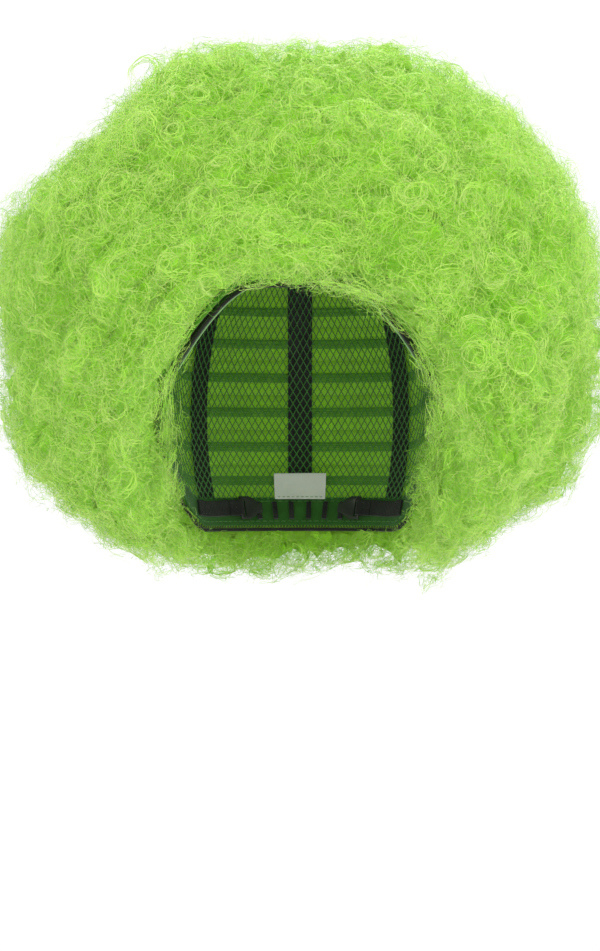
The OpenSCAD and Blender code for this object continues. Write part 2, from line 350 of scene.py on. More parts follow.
def round_edges(piece: bpy.types.Object, width: float, sharp: float, smooth: float) -> None:
    """Rounds the sharp edges of the active piece and shades it smooth between those that stay.

    Args:
        piece: The piece.
        width: Width of the rounding in metres.
        sharp: Angle in degrees above which an edge is rounded.
        smooth: Angle in degrees below which faces are shaded as one.
    """
    edge = piece.modifiers.new("rounded", "BEVEL")
    edge.width, edge.segments = width, EDGE_STEPS
    edge.limit_method, edge.angle_limit = "ANGLE", math.radians(sharp)
    bpy.ops.object.modifier_apply(modifier=edge.name)
    bpy.ops.object.shade_smooth_by_angle(angle=math.radians(smooth))


def corner_map(u: Array, v: Array, next_u: Array, next_v: Array) -> Array:
    """Map of the four corners of each quad, from its least and greatest coordinates."""
    corners = [np.stack(pair, -1) for pair in ((u, v), (u, next_v), (next_u, next_v), (next_u, v))]
    return np.stack(corners, axis=-2)


def ring_quads(places: int, around: int) -> Array:
    """Quads between each closed profile of a ring and the next.

    Args:
        places: Profiles round the ring.
        around: Points of each profile.

    Returns:
        Indices of points, four to a row.
    """
    index = np.arange(places * around).reshape(places, around)
    following = np.roll(index, -1, axis=0)
    quads = [index, np.roll(index, -1, axis=1), np.roll(following, -1, axis=1), following]
    return np.stack(quads, axis=-1).reshape(-1, 4)


def ring_map(places: int, around: int, low: float = 0.0, span: float = 1.0) -> Array:
    """Map of a ring's quads: share round the ring, and share round its profile.

    Args:
        places: Profiles round the ring.
        around: Points of each profile.
        low: Least value of the second coordinate.
        span: Range of the second coordinate.

    Returns:
        Coordinates of each quad's corners.
    """
    u = np.arange(places)[:, None] / places + 0 * np.arange(around)
    v = low + span * np.arange(around)[None, :] / around + 0 * u
    return corner_map(u, v, u + 1 / places, v + span / around)


def mesh_piece(name: str, points: Array, quads: Array, triangles: Array = NO_TRIANGLES) -> bpy.types.Object:
    """Makes a smooth-shaded piece from arrays of points and faces.

    Args:
        name: Name of the piece.
        points: Points, one row of three each.
        quads: Faces with four corners, one row each.
        triangles: Faces with three corners, one row each.

    Returns:
        The new object, linked to the scene.
    """
    mesh = bpy.data.meshes.new(name)
    quads, triangles = np.asarray(quads, int).reshape(-1, 4), np.asarray(triangles, int).reshape(-1, 3)
    corners = np.concatenate([quads.ravel(), triangles.ravel()])
    sizes = np.concatenate([np.full(len(quads), 4), np.full(len(triangles), 3)])
    mesh.vertices.add(len(points))
    mesh.vertices.foreach_set("co", np.ascontiguousarray(points, np.float32).ravel())
    mesh.loops.add(len(corners))
    mesh.loops.foreach_set("vertex_index", corners.astype(np.int32))
    mesh.polygons.add(len(sizes))
    mesh.polygons.foreach_set("loop_start", (np.cumsum(sizes) - sizes).astype(np.int32))
    mesh.polygons.foreach_set("use_smooth", np.full(len(sizes), True))
    mesh.update(calc_edges=True)
    piece = bpy.data.objects.new(name, mesh)
    bpy.context.scene.collection.objects.link(piece)
    return piece


# ---- Materials ----


@dataclass
class Nodes:
    """Short ways to add nodes to one node tree."""

    tree: bpy.types.NodeTree

    def add(self, kind: str, values: dict | None = None, **links) -> bpy.types.Node:
        """Adds a node.

        Args:
            kind: The node's type.
            values: Properties and input values by name; a number is an input's index.
            **links: Sockets to link, by input name with _ for a space.

        Returns:
            The node.
        """
        node = self.tree.nodes.new(kind)
        for key, value in (values or {}).items():
            if isinstance(key, int) or key in node.inputs:
                node.inputs[key].default_value = value
            else:
                setattr(node, key, value)
        for key, socket in links.items():
            self.tree.links.new(socket, node.inputs[key.replace("_", " ")])
        return node

    def math(self, operation: str, first: object, second: object = 0.0) -> bpy.types.NodeSocket:
        """Adds a Math node.

        Args:
            operation: What it works out.
            first: First socket or number.
            second: Second socket or number.

        Returns:
            Its result.
        """
        node = self.add("ShaderNodeMath", {"operation": operation})
        for index, value in enumerate((first, second)):
            if isinstance(value, bpy.types.NodeSocket):
                self.tree.links.new(value, node.inputs[index])
            else:
                node.inputs[index].default_value = value
        return node.outputs[0]

    def mix(self, share: object, low: object, high: object) -> bpy.types.NodeSocket:
        """Adds a node that mixes two colours.

        Args:
            share: Share of the high colour, a socket or a number.
            low: Colour or socket at a share of 0.
            high: Colour or socket at a share of 1.

        Returns:
            The mixed colour.
        """
        node = self.add("ShaderNodeMix", {"data_type": "RGBA"})
        for index, value in ((0, share), (6, low), (7, high)):
            if isinstance(value, bpy.types.NodeSocket):
                self.tree.links.new(value, node.inputs[index])
            else:
                node.inputs[index].default_value = (*value, 1) if index else value
        return node.outputs[2]


def new_material(name: str, **sockets: object) -> tuple[bpy.types.Material, Nodes, bpy.types.Node]:
    """Makes a material with a Principled shader whose constants are set on its own sockets.

    Args:
        name: Name of the material.
        **sockets: Values by the shader's socket names with _ for a space.

    Returns:
        The material, its nodes and the shader.
    """
    material = bpy.data.materials.new(name)
    material.use_nodes = True
    nodes = Nodes(material.node_tree)
    shader = material.node_tree.nodes["Principled BSDF"]
    for key, value in sockets.items():
        shader.inputs[key.replace("_", " ")].default_value = value
    return material, nodes, shader


def new_group(name: str, inputs: dict[str, tuple[str, object]], outputs: dict[str, str]) -> tuple:
    """Makes a shader node group with named sockets.

    Args:
        name: Name of the group.
        inputs: Kind and first value of each input by name.
        outputs: Kind of each output by name.

    Returns:
        The group, its nodes, and its input and output nodes.
    """
    group = bpy.data.node_groups.new(name, "ShaderNodeTree")
    for key, (kind, value) in inputs.items():
        socket = group.interface.new_socket(key, in_out="INPUT", socket_type=kind)
        if value is not None:
            socket.default_value = value
    for key, kind in outputs.items():
        group.interface.new_socket(key, in_out="OUTPUT", socket_type=kind)
    nodes = Nodes(group)
    return group, nodes, group.nodes.new("NodeGroupInput"), group.nodes.new("NodeGroupOutput")


FLOAT, COLOUR, VECTOR = "NodeSocketFloat", "NodeSocketColor", "NodeSocketVector"


def mottle_group() -> bpy.types.NodeTree:
    """Makes, once, the group that varies a colour in soft patches.

    Returns:
        The group, with the patches' colour and their mask.
    """
    found = bpy.data.node_groups.get("mottle")
    if found:
        return found
    group, nodes, given, made = new_group(
        "mottle",
        {"Vector": (VECTOR, None), "Light": (COLOUR, (1, 1, 1, 1)), "Dark": (COLOUR, (0, 0, 0, 1)),
         "Scale": (FLOAT, 60.0), "Detail": (FLOAT, 3.0)},
        {"Color": COLOUR, "Mask": FLOAT},
    )
    noise = nodes.add("ShaderNodeTexNoise", {"Roughness": 0.6}, Vector=given.outputs["Vector"],
                      Scale=given.outputs["Scale"], Detail=given.outputs["Detail"])
    spread = nodes.add("ShaderNodeMapRange", {"From Min": 0.32, "From Max": 0.68},
                       Value=noise.outputs["Fac"])
    colour = nodes.mix(spread.outputs[0], (0, 0, 0), (1, 1, 1))
    mixer = colour.node
    group.links.new(given.outputs["Dark"], mixer.inputs[6])
    group.links.new(given.outputs["Light"], mixer.inputs[7])
    group.links.new(colour, made.inputs["Color"])
    group.links.new(spread.outputs[0], made.inputs["Mask"])
    return group


@dataclass(frozen=True)
class FibreFinish:
    """Bright frizzy fibre: darker and greener at the root, lighter and yellower at the tip, the lighter tip
    partly painted light through it, with a painted glow.
    """

    root: Colour = (0.33, 0.74, 0.036)
    middle: Colour = (0.41, 0.73, 0.067)
    tip: Colour = (0.58, 0.73, 0.24)
    yellow: Colour = (0.63, 0.73, 0.25)
    # Colour of the painted glow: an emission that stands in for light passing through the fibres.
    glow: Colour = (0.32, 0.70, 0.04)
    roughness: float = 0.55
    middle_at: float = 0.45
    yellow_share: float = 0.45
    shade_steps: float = 7.0

    def material(self) -> bpy.types.Material:
        """Makes the strands' material, a function of the bake map: shade across, length up.

        Returns:
            The material.
        """
        # The emission is a painted glow. It stands in for light passing through the fibres and lifts the
        # shade between them.
        material, nodes, shader = new_material(
            "hair_fibre", Sheen_Weight=0.25, Sheen_Roughness=0.4, Specular_IOR_Level=0.3,
            Emission_Color=(*self.glow, 1), Emission_Strength=0.07)
        place = nodes.add("ShaderNodeSeparateXYZ", Vector=nodes.add(
            "ShaderNodeUVMap", {"uv_map": "OFBake"}).outputs[0])
        along = nodes.add("ShaderNodeMapRange", {"From Min": STRAND_LOW, "From Max": STRAND_HIGH},
                          Value=place.outputs["Y"])
        # Root-to-tip ramp: the change from greener to yellower is the fibre's own tone; the lightening
        # towards the tip is partly painted light through the translucent tips.
        ramp = nodes.add("ShaderNodeValToRGB", Fac=along.outputs[0])
        stops = ramp.color_ramp.elements
        stops[0].color, stops[1].color = (*self.root, 1), (*self.tip, 1)
        stops.new(self.middle_at).color = (*self.middle, 1)
        bin_place = nodes.math("FLOOR", nodes.math("MULTIPLY", place.outputs["X"], SHADE_BINS))
        shade = nodes.add("ShaderNodeTexWhiteNoise", {"noise_dimensions": "1D"}, W=bin_place)
        warm = nodes.math("MULTIPLY", shade.outputs["Value"], self.yellow_share)
        tinted = nodes.mix(warm, self.middle, self.yellow)
        nodes.tree.links.new(ramp.outputs["Color"], tinted.node.inputs[6])
        steps = nodes.math("MULTIPLY", shade.outputs["Value"], self.shade_steps)
        light = nodes.add("ShaderNodeMapRange", {"To Min": 0.93, "To Max": 1.05},
                          Value=nodes.math("FRACT", steps))
        varied = nodes.add("ShaderNodeMix", {"data_type": "RGBA", "blend_type": "MULTIPLY", 0: 1.0})
        nodes.tree.links.new(tinted, varied.inputs[6])
        nodes.tree.links.new(light.outputs[0], varied.inputs[7])
        nodes.tree.links.new(varied.outputs[2], shader.inputs["Base Color"])
        rough = nodes.add("ShaderNodeMapRange", Value=along.outputs[0], values={
            "To Min": self.roughness + 0.1, "To Max": self.roughness - 0.08})
        nodes.tree.links.new(rough.outputs[0], shader.inputs["Roughness"])
        return material


@dataclass(frozen=True)
class UndercoatFinish:
    """Dense hair deep between the curls: darker green with fine fibres, lifted by a painted glow."""

    # The light colour is also the colour of the undercoat's painted glow.
    light: Colour = (0.38, 0.82, 0.04)
    dark: Colour = (0.29, 0.71, 0.025)
    fibre_share: float = 0.5

    def material(self) -> bpy.types.Material:
        """Makes the undercoat's material, on Object coordinates.

        Returns:
            The material.
        """
        # The emission is a painted glow that lifts the shade deep between the curls.
        material, nodes, shader = new_material(
            "hair_undercoat", Sheen_Weight=0.2, Specular_IOR_Level=0.2, Emission_Color=(*self.light, 1),
            Emission_Strength=0.13)
        place = nodes.add("ShaderNodeTexCoord").outputs["Object"]
        patches = nodes.add("ShaderNodeGroup", {
            "node_tree": mottle_group(), "Light": (*self.light, 1), "Dark": (*self.dark, 1),
            "Scale": 90.0, "Detail": 5.0}, Vector=place)
        bent = nodes.add("ShaderNodeTexNoise", {"Scale": 60.0, "Detail": 2.0}, Vector=place)
        curved = nodes.add("ShaderNodeMixRGB", {"blend_type": "ADD", "Fac": 0.06},
                           Color1=place, Color2=bent.outputs["Color"])
        fibres = nodes.add("ShaderNodeTexWave", {
            "Scale": 260.0, "Distortion": 9.0, "Detail": 3.0, "Detail Scale": 2.0},
            Vector=curved.outputs[0])
        fibre_mask = nodes.math("MULTIPLY", fibres.outputs["Fac"], self.fibre_share)
        shown = nodes.mix(fibre_mask, self.light, self.light)
        nodes.tree.links.new(patches.outputs["Color"], shown.node.inputs[6])
        nodes.tree.links.new(shown, shader.inputs["Base Color"])
        bump = nodes.add("ShaderNodeBump", {"Strength": 0.8, "Distance": 0.0008},
                         Height=fibres.outputs["Fac"])
        nodes.tree.links.new(bump.outputs[0], shader.inputs["Normal"])
        rough = nodes.add("ShaderNodeMapRange", {"To Min": 0.6, "To Max": 0.85},
                          Value=fibres.outputs["Fac"])
        nodes.tree.links.new(rough.outputs[0], shader.inputs["Roughness"])
        return material


def weave_group() -> bpy.types.NodeTree:
    """Makes, once, the group of a plain weave on flat cloth coordinates in metres.

    Returns:
        The group, with the weave's height and a mask of its worn high threads.
    """
    found = bpy.data.node_groups.get("weave")
    if found:
        return found
    group, nodes, given, made = new_group(
        "weave",
        {"Vector": (VECTOR, None), "Across": (FLOAT, 1500.0), "Along": (FLOAT, 1500.0),
         "Ribs": (FLOAT, 0.0)},
        {"Height": FLOAT, "Mask": FLOAT},
    )
    place = nodes.add("ShaderNodeSeparateXYZ", Vector=given.outputs["Vector"])
    full = 2 * math.pi
    warp = nodes.math("SINE", nodes.math("MULTIPLY", nodes.math(
        "MULTIPLY", place.outputs["X"], given.outputs["Along"]), full))
    weft = nodes.math("SINE", nodes.math("MULTIPLY", nodes.math(
        "MULTIPLY", place.outputs["Y"], given.outputs["Across"]), full))
    checks = nodes.math("MULTIPLY", warp, weft)
    ribs = nodes.math("MULTIPLY", nodes.math("ABSOLUTE", weft), given.outputs["Ribs"])
    plain = nodes.math("MULTIPLY", checks, nodes.math("SUBTRACT", 1.0, given.outputs["Ribs"]))
    height = nodes.math("ADD", ribs, nodes.math("MULTIPLY", nodes.math("ADD", plain, 1.0), 0.5))
    group.links.new(height, made.inputs["Height"])
    group.links.new(nodes.math("MINIMUM", height, 1.0), made.inputs["Mask"])
    return group


@dataclass(frozen=True)
class ClothFinish:
    """Woven cloth, ribbon or ribbed elastic, on a piece's own flat coordinates."""

    name: str
    colour: Colour
    worn: Colour
    threads: tuple[float, float] = (1400.0, 1400.0)
    ribs: float = 0.0
    depth: float = 0.00012
    roughness: float = 0.8
    sheen: float = 0.3
    by_object: bool = False
    worn_share: float = 0.45
    patch_share: float = 0.5
    rubbed: float = 0.15

    def material(self) -> bpy.types.Material:
        """Makes the cloth's material, once.

        Returns:
            The material.
        """
        found = bpy.data.materials.get(self.name)
        if found:
            return found
        material, nodes, shader = new_material(
            self.name, Sheen_Weight=self.sheen, Sheen_Roughness=0.4, Specular_IOR_Level=0.3)
        objects = nodes.add("ShaderNodeTexCoord").outputs["Object"]
        flat = objects if self.by_object else nodes.add("ShaderNodeUVMap", {"uv_map": "cloth"}).outputs[0]
        weave = nodes.add("ShaderNodeGroup", {
            "node_tree": weave_group(), "Along": self.threads[0], "Across": self.threads[1],
            "Ribs": self.ribs}, Vector=flat)
        patches = nodes.add("ShaderNodeGroup", {
            "node_tree": mottle_group(), "Light": (*self.worn, 1), "Dark": (*self.colour, 1),
            "Scale": 140.0, "Detail": 6.0}, Vector=objects)
        worn_mask = nodes.math("MULTIPLY", weave.outputs["Mask"], self.worn_share)
        shown = nodes.mix(worn_mask, self.colour, self.worn)
        blended = nodes.mix(self.patch_share, shown, patches.outputs["Color"])
        nodes.tree.links.new(blended, shader.inputs["Base Color"])
        bump = nodes.add("ShaderNodeBump", {"Strength": 0.7, "Distance": self.depth},
                         Height=weave.outputs["Height"])
        nodes.tree.links.new(bump.outputs[0], shader.inputs["Normal"])
        rough = nodes.add("ShaderNodeMapRange", Value=patches.outputs["Mask"], values={
            "To Min": self.roughness, "To Max": self.roughness - self.rubbed})
        nodes.tree.links.new(rough.outputs[0], shader.inputs["Roughness"])
        return material


@dataclass(frozen=True)
class ThreadFinish:
    """Twisted thread of stitches and net, on its own flat map: twist along it, a shade for each."""

    name: str
    colour: Colour
    bright: Colour
    twists: float = 24.0
    flat_map: str = "thread"

    def material(self) -> bpy.types.Material:
        """Makes the thread's material, once.

        Returns:
            The material.
        """
        found = bpy.data.materials.get(self.name)
        if found:
            return found
        material, nodes, shader = new_material(self.name, Sheen_Weight=0.2, Specular_IOR_Level=0.4)
        place = nodes.add("ShaderNodeSeparateXYZ", Vector=nodes.add(
            "ShaderNodeUVMap", {"uv_map": self.flat_map}).outputs[0])
        slant = nodes.math("ADD", nodes.math("MULTIPLY", place.outputs["Y"], self.twists),
                           nodes.math("MULTIPLY", place.outputs["X"], SHADE_BINS / 2))
        twist = nodes.math("ABSOLUTE", nodes.math("SINE", nodes.math("MULTIPLY", slant, math.pi)))
        shown = nodes.mix(twist, self.colour, self.bright)
        nodes.tree.links.new(shown, shader.inputs["Base Color"])
        bump = nodes.add("ShaderNodeBump", {"Strength": 0.5, "Distance": 0.0001}, Height=twist)
        nodes.tree.links.new(bump.outputs[0], shader.inputs["Normal"])
        rough = nodes.add("ShaderNodeMapRange", {"To Min": 0.75, "To Max": 0.5}, Value=twist)
        nodes.tree.links.new(rough.outputs[0], shader.inputs["Roughness"])
        return material


@dataclass(frozen=True)
class PlasticFinish:
    """Black moulded plastic with a fine grain and rubbed patches."""

    colour: Colour = (0.012, 0.012, 0.013)
    rubbed: Colour = (0.05, 0.05, 0.052)

    def material(self) -> bpy.types.Material:
        """Makes the plastic's material, once.

        Returns:
            The material.
        """
        found = bpy.data.materials.get("hook_plastic")
        if found:
            return found
        material, nodes, shader = new_material("hook_plastic", Specular_IOR_Level=0.5, Coat_Weight=0.15)
        objects = nodes.add("ShaderNodeTexCoord").outputs["Object"]
        patches = nodes.add("ShaderNodeGroup", {
            "node_tree": mottle_group(), "Light": (*self.rubbed, 1), "Dark": (*self.colour, 1),
            "Scale": 700.0, "Detail": 4.0}, Vector=objects)
        nodes.tree.links.new(patches.outputs["Color"], shader.inputs["Base Color"])
        rough = nodes.add("ShaderNodeMapRange", {"To Min": 0.26, "To Max": 0.42},
                          Value=patches.outputs["Mask"])
        nodes.tree.links.new(rough.outputs[0], shader.inputs["Roughness"])
        grain = nodes.add("ShaderNodeTexNoise", {"Scale": 2600.0, "Detail": 2.0}, Vector=objects)
        bump = nodes.add("ShaderNodeBump", {"Strength": 0.25, "Distance": 0.00004},
                         Height=grain.outputs["Fac"])
        nodes.tree.links.new(bump.outputs[0], shader.inputs["Normal"])
        return material


BAND_CLOTH = ClothFinish("band_cloth", (0.022, 0.105, 0.012), (0.045, 0.17, 0.022))
LINING_CLOTH = ClothFinish(
    "lining_cloth", (0.27, 0.50, 0.20), (0.42, 0.64, 0.32),
    threads=(900.0, 900.0), depth=0.0002, roughness=0.9, sheen=0.6)
RIBBON_CLOTH = ClothFinish(
    "ribbon_cloth", (0.006, 0.006, 0.006), (0.022, 0.022, 0.022),
    threads=(2200.0, 1100.0), ribs=0.6, roughness=0.6)
ELASTIC_CLOTH = ClothFinish(
    "elastic_cloth", (0.007, 0.007, 0.007), (0.028, 0.028, 0.028),
    threads=(1100.0, 700.0), ribs=0.8, depth=0.0002, roughness=0.75)
LOOP_CLOTH = ClothFinish(
    "loop_cloth", (0.007, 0.007, 0.007), (0.028, 0.028, 0.028),
    threads=(1100.0, 700.0), ribs=0.6, depth=0.0002, roughness=0.75, by_object=True)
LABEL_CLOTH = ClothFinish(
    "label_cloth", (0.74, 0.74, 0.70), (0.86, 0.86, 0.83),
    threads=(2600.0, 2000.0), depth=0.00006, roughness=0.5)
WEFT_CLOTH = ClothFinish(
    "weft_cloth", (0.10, 0.34, 0.025), (0.25, 0.58, 0.06),
    threads=(900.0, 700.0), ribs=0.7, depth=0.0003)
BAND_THREAD = ThreadFinish("band_thread", (0.05, 0.20, 0.03), (0.12, 0.34, 0.07))
NET_THREAD = ThreadFinish("net_thread", (0.045, 0.20, 0.03), (0.09, 0.31, 0.055), 240.0, "OFBake")
DARK_THREAD = ThreadFinish("dark_thread", (0.008, 0.008, 0.008), (0.035, 0.035, 0.035))
PALE_THREAD = ThreadFinish("pale_thread", (0.55, 0.62, 0.45), (0.75, 0.80, 0.62))
WEFT_THREAD = ThreadFinish("weft_thread", (0.16, 0.45, 0.04), (0.34, 0.66, 0.12))


# ---- Sewing ----


def path_lengths(line: Array) -> Array:
    """Length from the start of a line to each of its points."""
    return np.concatenate([[0.0], np.cumsum(np.linalg.norm(np.diff(line, axis=0), axis=1))])


def run_of_stitches(threads: "Strands", line: Array, outward: Array, stitch: float = 0.0026,
                    pitch: float = 0.0036, radius: float = 0.00024) -> None:
    """Adds a run of machine stitches along a line.

    Args:
        threads: Where the stitches are collected.
        line: Points of the line, close together.
        outward: Direction off the cloth at each point.
        stitch: Length of a stitch.
        pitch: Distance from one stitch to the next.
        radius: Radius of the thread.
    """
    lengths = path_lengths(line)
    number = max(1, int(lengths[-1] / pitch))
    middles = (np.arange(number) + 0.5) * lengths[-1] / number
    at = middles[:, None] + stitch * STITCH_ALONG
    lift = radius * STITCH_LIFT

    def along(values: Array) -> Array:
        """Values read off along the line."""
        return np.stack([np.interp(at, lengths, values[:, k]) for k in range(3)], axis=-1)

    off = along(outward)
    threads.add(along(line) + off * lift[None, :, None], off[:, 0], np.full(number, radius),
                np.arange(number) % SHADE_BINS, taper=0.0)


def sewn_sheet(name: str, columns: int, rows: int, place: Callable[[Array, Array], Array], thickness: float,
               finish: ClothFinish, size: tuple[float, float], closed: bool = False) -> bpy.types.Object:
    """Shapes a grid into a piece of cloth with two faces and turned edges.

    Args:
        name: Name of the piece.
        columns: Faces along it.
        rows: Faces across it.
        place: Gives the middle of the cloth at shares along and across it.
        thickness: Thickness of the cloth.
        finish: Its finish.
        size: Flat length and width, for the weave.
        closed: Whether its two ends meet.

    Returns:
        The piece.
    """
    nothing_selected()
    bpy.ops.mesh.primitive_grid_add(x_subdivisions=columns, y_subdivisions=rows, size=1)
    piece = bpy.context.object
    piece.name = piece.data.name = name
    mesh = piece.data
    flat = np.empty(len(mesh.vertices) * 3)
    mesh.vertices.foreach_get("co", flat)
    flat = flat.reshape(-1, 3)[:, :2] + 0.5
    cloth = mesh.uv_layers.active
    cloth.name = "cloth"
    corners = np.empty(len(mesh.loops), np.int64)
    mesh.loops.foreach_get("vertex_index", corners)
    cloth.data.foreach_set("uv", (flat[corners] * np.array(size)).ravel())
    mesh.vertices.foreach_set("co", place(flat[:, 0], flat[:, 1]).ravel())
    mesh.update()
    with whole_mesh_open(piece):
        if closed:
            bpy.ops.mesh.remove_doubles(threshold=MERGE_REACH)
        bpy.ops.mesh.normals_make_consistent(inside=False)
    wall = piece.modifiers.new("cloth", "SOLIDIFY")
    wall.thickness, wall.offset, wall.use_even_offset = thickness, 0.0, True
    bpy.ops.object.modifier_apply(modifier=wall.name)
    round_edges(piece, thickness * TURNED_EDGE, sharp=60, smooth=50)
    piece.data.materials.append(finish.material())
    return piece


def with_threads(piece: bpy.types.Object, threads: "Strands", finish: ThreadFinish) -> None:
    """Joins stitches to the cloth they hold.

    Args:
        piece: The cloth.
        threads: The stitches.
        finish: Their finish.
    """
    sewn = threads.piece(piece.name + "_stitches", finish.material())
    sewn.data.uv_layers["OFBake"].name = "thread"
    sewn.data.uv_layers.new(name="cloth")
    piece.data.uv_layers.new(name="thread")
    only(piece)
    sewn.select_set(True)
    bpy.ops.object.join()


def hoop(name: str, profiles: Array, finish: ClothFinish, size: tuple[float, float]) -> bpy.types.Object:
    """Makes a closed ring from a closed profile at each place round it.

    Args:
        name: Name of the piece.
        profiles: Points, (places, points of the profile, 3).
        finish: Its finish.
        size: Length round it and round the profile, for the weave.

    Returns:
        The piece.
    """
    places, around = profiles.shape[:2]
    piece = mesh_piece(name, profiles.reshape(-1, 3), ring_quads(places, around))
    maps = ring_map(places, around) * np.array(size)
    piece.data.uv_layers.new(name="cloth").data.foreach_set("uv", maps.ravel())
    piece.data.materials.append(finish.material())
    with whole_mesh_open(piece):
        bpy.ops.mesh.normals_make_consistent(inside=False)
    return piece


def settle(piece: bpy.types.Object, node: str, body: str | None = "root") -> bpy.types.Object:
    """Hides the CAD node that a finished piece stands for, attaches the piece to its body if it has one,
    and reports it.

    Args:
        piece: The piece.
        node: CAD node that it stands for.
        body: Body that it rides on, or None for a piece that blends between two.

    Returns:
        The piece.
    """
    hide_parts(node)
    if body:
        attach(piece, body)
    log.info("%s: %d faces", piece.name, len(piece.data.polygons))
    return piece


def route(corners: Sequence[tuple[float, float]], numbers: Sequence[int]) -> tuple[Array, Array]:
    """Follows straight runs from corner to corner of a seam.

    Args:
        corners: The seam's corners, each a pair of shares of the cloth.
        numbers: Points along each run.

    Returns:
        The two shares at each point.
    """
    runs = [np.linspace(*ends, number) for *ends, number in zip(corners, corners[1:], numbers)]
    along, across = np.concatenate(runs).T
    return along, across


# ---- Cap ----


RIBBON_TURNS = {"front": 0, "front_left": 45, "left": 90, "back_left": 135,
                "back": 180, "back_right": 225, "right": 270, "front_right": 315}


@dataclass
class FoundationCap:
    """The sewn cap: net, crown patch, bands, ear tabs, ribbons, edge elastic, lining and label.

    A layer is a pair of distances off the head form. Turns and ends are in degrees round it. The seams
    of a cloth are shares of its width, and "sunk" is how deep a stitch lies in the cloth.
    """

    band_layer: tuple[float, float] = (0.4 * MM, 1.4 * MM)
    band_cloth: float = 0.8 * MM
    band_seams: tuple[float, float] = (0.14, 0.86)
    hem_rise: float = 0.10 * MM
    hem_fall: tuple[float, float] = (9.0, 0.9)
    sunk: float = 0.02 * MM
    net_layer: float = 0.7 * MM
    ribbon_layer: tuple[float, float] = (1.7 * MM, 2.4 * MM)
    ribbon_cloth: float = 0.5 * MM
    ribbon_seams: tuple[float, float] = (0.16, 0.84)
    ribbon_selvedge: tuple[float, float] = (0.12, 0.06 * MM)
    ribbon_sunk: float = 0.08 * MM
    ribbon_under: tuple[float, float] = (1 * MM, 3 * MM)
    ribbon_width: float = 13 * MM
    lining_layer: tuple[float, float] = (-0.7 * MM, 0.1 * MM)
    lining_cloth: float = 0.7 * MM
    lining_seams: tuple[float, float] = (0.1, 0.9)
    lining_sunk: float = 0.04 * MM
    lining_pucker: tuple[float, float] = (0.08 * MM, 3.1)
    lining_end: float = 57.0
    lining_width: float = 12 * MM
    front_end: float = 63.0
    tab_middle: float = 72.0
    tab_width: float = 24 * MM
    tab_length: float = 20 * MM
    tab_round: float = 2.6
    tab_filled: float = 0.86
    tab_seam: tuple[tuple[float, float], ...] = ((0.13, 0.96), (0.13, 0.1), (0.87, 0.1), (0.87, 0.96))
    nape_start: float = 103.0
    seam: float = 0.4
    patch_reach: float = 13.57
    patch_cloth: float = 0.6 * MM
    patch_seams: tuple[float, float] = (0.88, 0.8)
    patch_sunk: float = 0.04 * MM
    elastic_radius: float = 1.0 * MM
    elastic_gap: tuple[float, float] = (0.3 * MM, 0.6 * MM)
    casing_share: float = 0.93
    gather_depth: float = 0.10
    gather_pace: float = 0.98
    whip_stitches: int = 240
    whip_reach: float = 1.1 * MM
    band_thread: float = 0.26 * MM
    net_lines: int = 124
    net_turn: float = 78.0
    net_bow: float = 0.35
    net_thread: float = 0.32 * MM
    net_lap: tuple[float, float] = (1 * MM, 3.0)
    net_size: tuple[float, float] = (0.21, 0.23)
    net_area: float = 0.041
    label_size: tuple[float, float] = (26 * MM, 15 * MM)
    label_cloth: float = 0.35 * MM
    label_off: tuple[float, float] = (0.6 * MM, 0.25 * MM)
    label_hem: float = 1.5 * MM
    label_curl: float = 0.9 * MM
    label_sunk: float = 0.17 * MM

    def band(self, name: str, node: str, start: float, end: float, columns: int) -> bpy.types.Object:
        """Makes a stretch of the edge band, hemmed and stitched along both edges.

        Args:
            name: Name of the piece.
            node: CAD node that it stands for.
            start: Turn where it starts.
            end: Turn where it ends.
            columns: Faces along it.

        Returns:
            The piece.
        """
        low_off, high_off = self.band_layer
        middle = (low_off + high_off) / 2
        wide = HEAD.angle_of(HEAD.band_width)

        def place(u: Array, v: Array) -> Array:
            """Places the band's middle, proud at its hems.

            Args:
                u: Shares along it.
                v: Shares up it.

            Returns:
                Points of the middle of the cloth.
            """
            azimuth = start + (end - start) * u
            pace, flat = self.hem_fall
            hem = self.hem_rise * (1 - ease(np.minimum(v, 1 - v) * pace - flat))
            return HEAD.point(azimuth, HEAD.rim(azimuth) - wide * v, middle + hem)

        azimuths = np.linspace(start, end, 8 * columns)
        line = HEAD.point(azimuths, HEAD.rim(azimuths) - wide / 2, middle)
        length = float(path_lengths(line)[-1])
        piece = sewn_sheet(name, columns, 14, place, self.band_cloth, BAND_CLOTH, (length, HEAD.band_width))
        threads = Strands()
        for share in self.band_seams:
            for off, sign in ((low_off + self.sunk, -1), (high_off - self.sunk, 1)):
                line = HEAD.point(azimuths, HEAD.rim(azimuths) - wide * share, off)
                run_of_stitches(threads, line, sign * HEAD.normal(line))
        with_threads(piece, threads, BAND_THREAD)
        return settle(piece, node)

    def lining(self) -> bpy.types.Object:
        """Makes the soft strip against the forehead.

        Returns:
            The piece.
        """
        wide = HEAD.angle_of(self.lining_width)
        middle = sum(self.lining_layer) / 2

        def place(u: Array, v: Array) -> Array:
            """Places the strip's middle, with faint puckers.

            Args:
                u: Shares along it.
                v: Shares up it.

            Returns:
                Points of the middle of the cloth.
            """
            azimuth = self.lining_end * (2 * u - 1)
            depth, pace = self.lining_pucker
            pucker = depth * np.sin(azimuth * pace) * np.sin(math.pi * v)
            return HEAD.point(azimuth, HEAD.rim(azimuth) - wide * v, middle + pucker)

        azimuths = np.linspace(-self.lining_end, self.lining_end, 400)
        length = float(path_lengths(HEAD.point(azimuths, HEAD.rim(azimuths) - wide / 2, middle))[-1])
        piece = sewn_sheet("forehead_strip", 96, 10, place, self.lining_cloth, LINING_CLOTH,
                           (length, self.lining_width))
        threads = Strands()
        inner = self.lining_layer[0] + self.lining_sunk
        for share in self.lining_seams:
            line = HEAD.point(azimuths, HEAD.rim(azimuths) - wide * share, inner)
            run_of_stitches(threads, line, -HEAD.normal(line))
        with_threads(piece, threads, PALE_THREAD)
        return settle(piece, "forehead_lining")

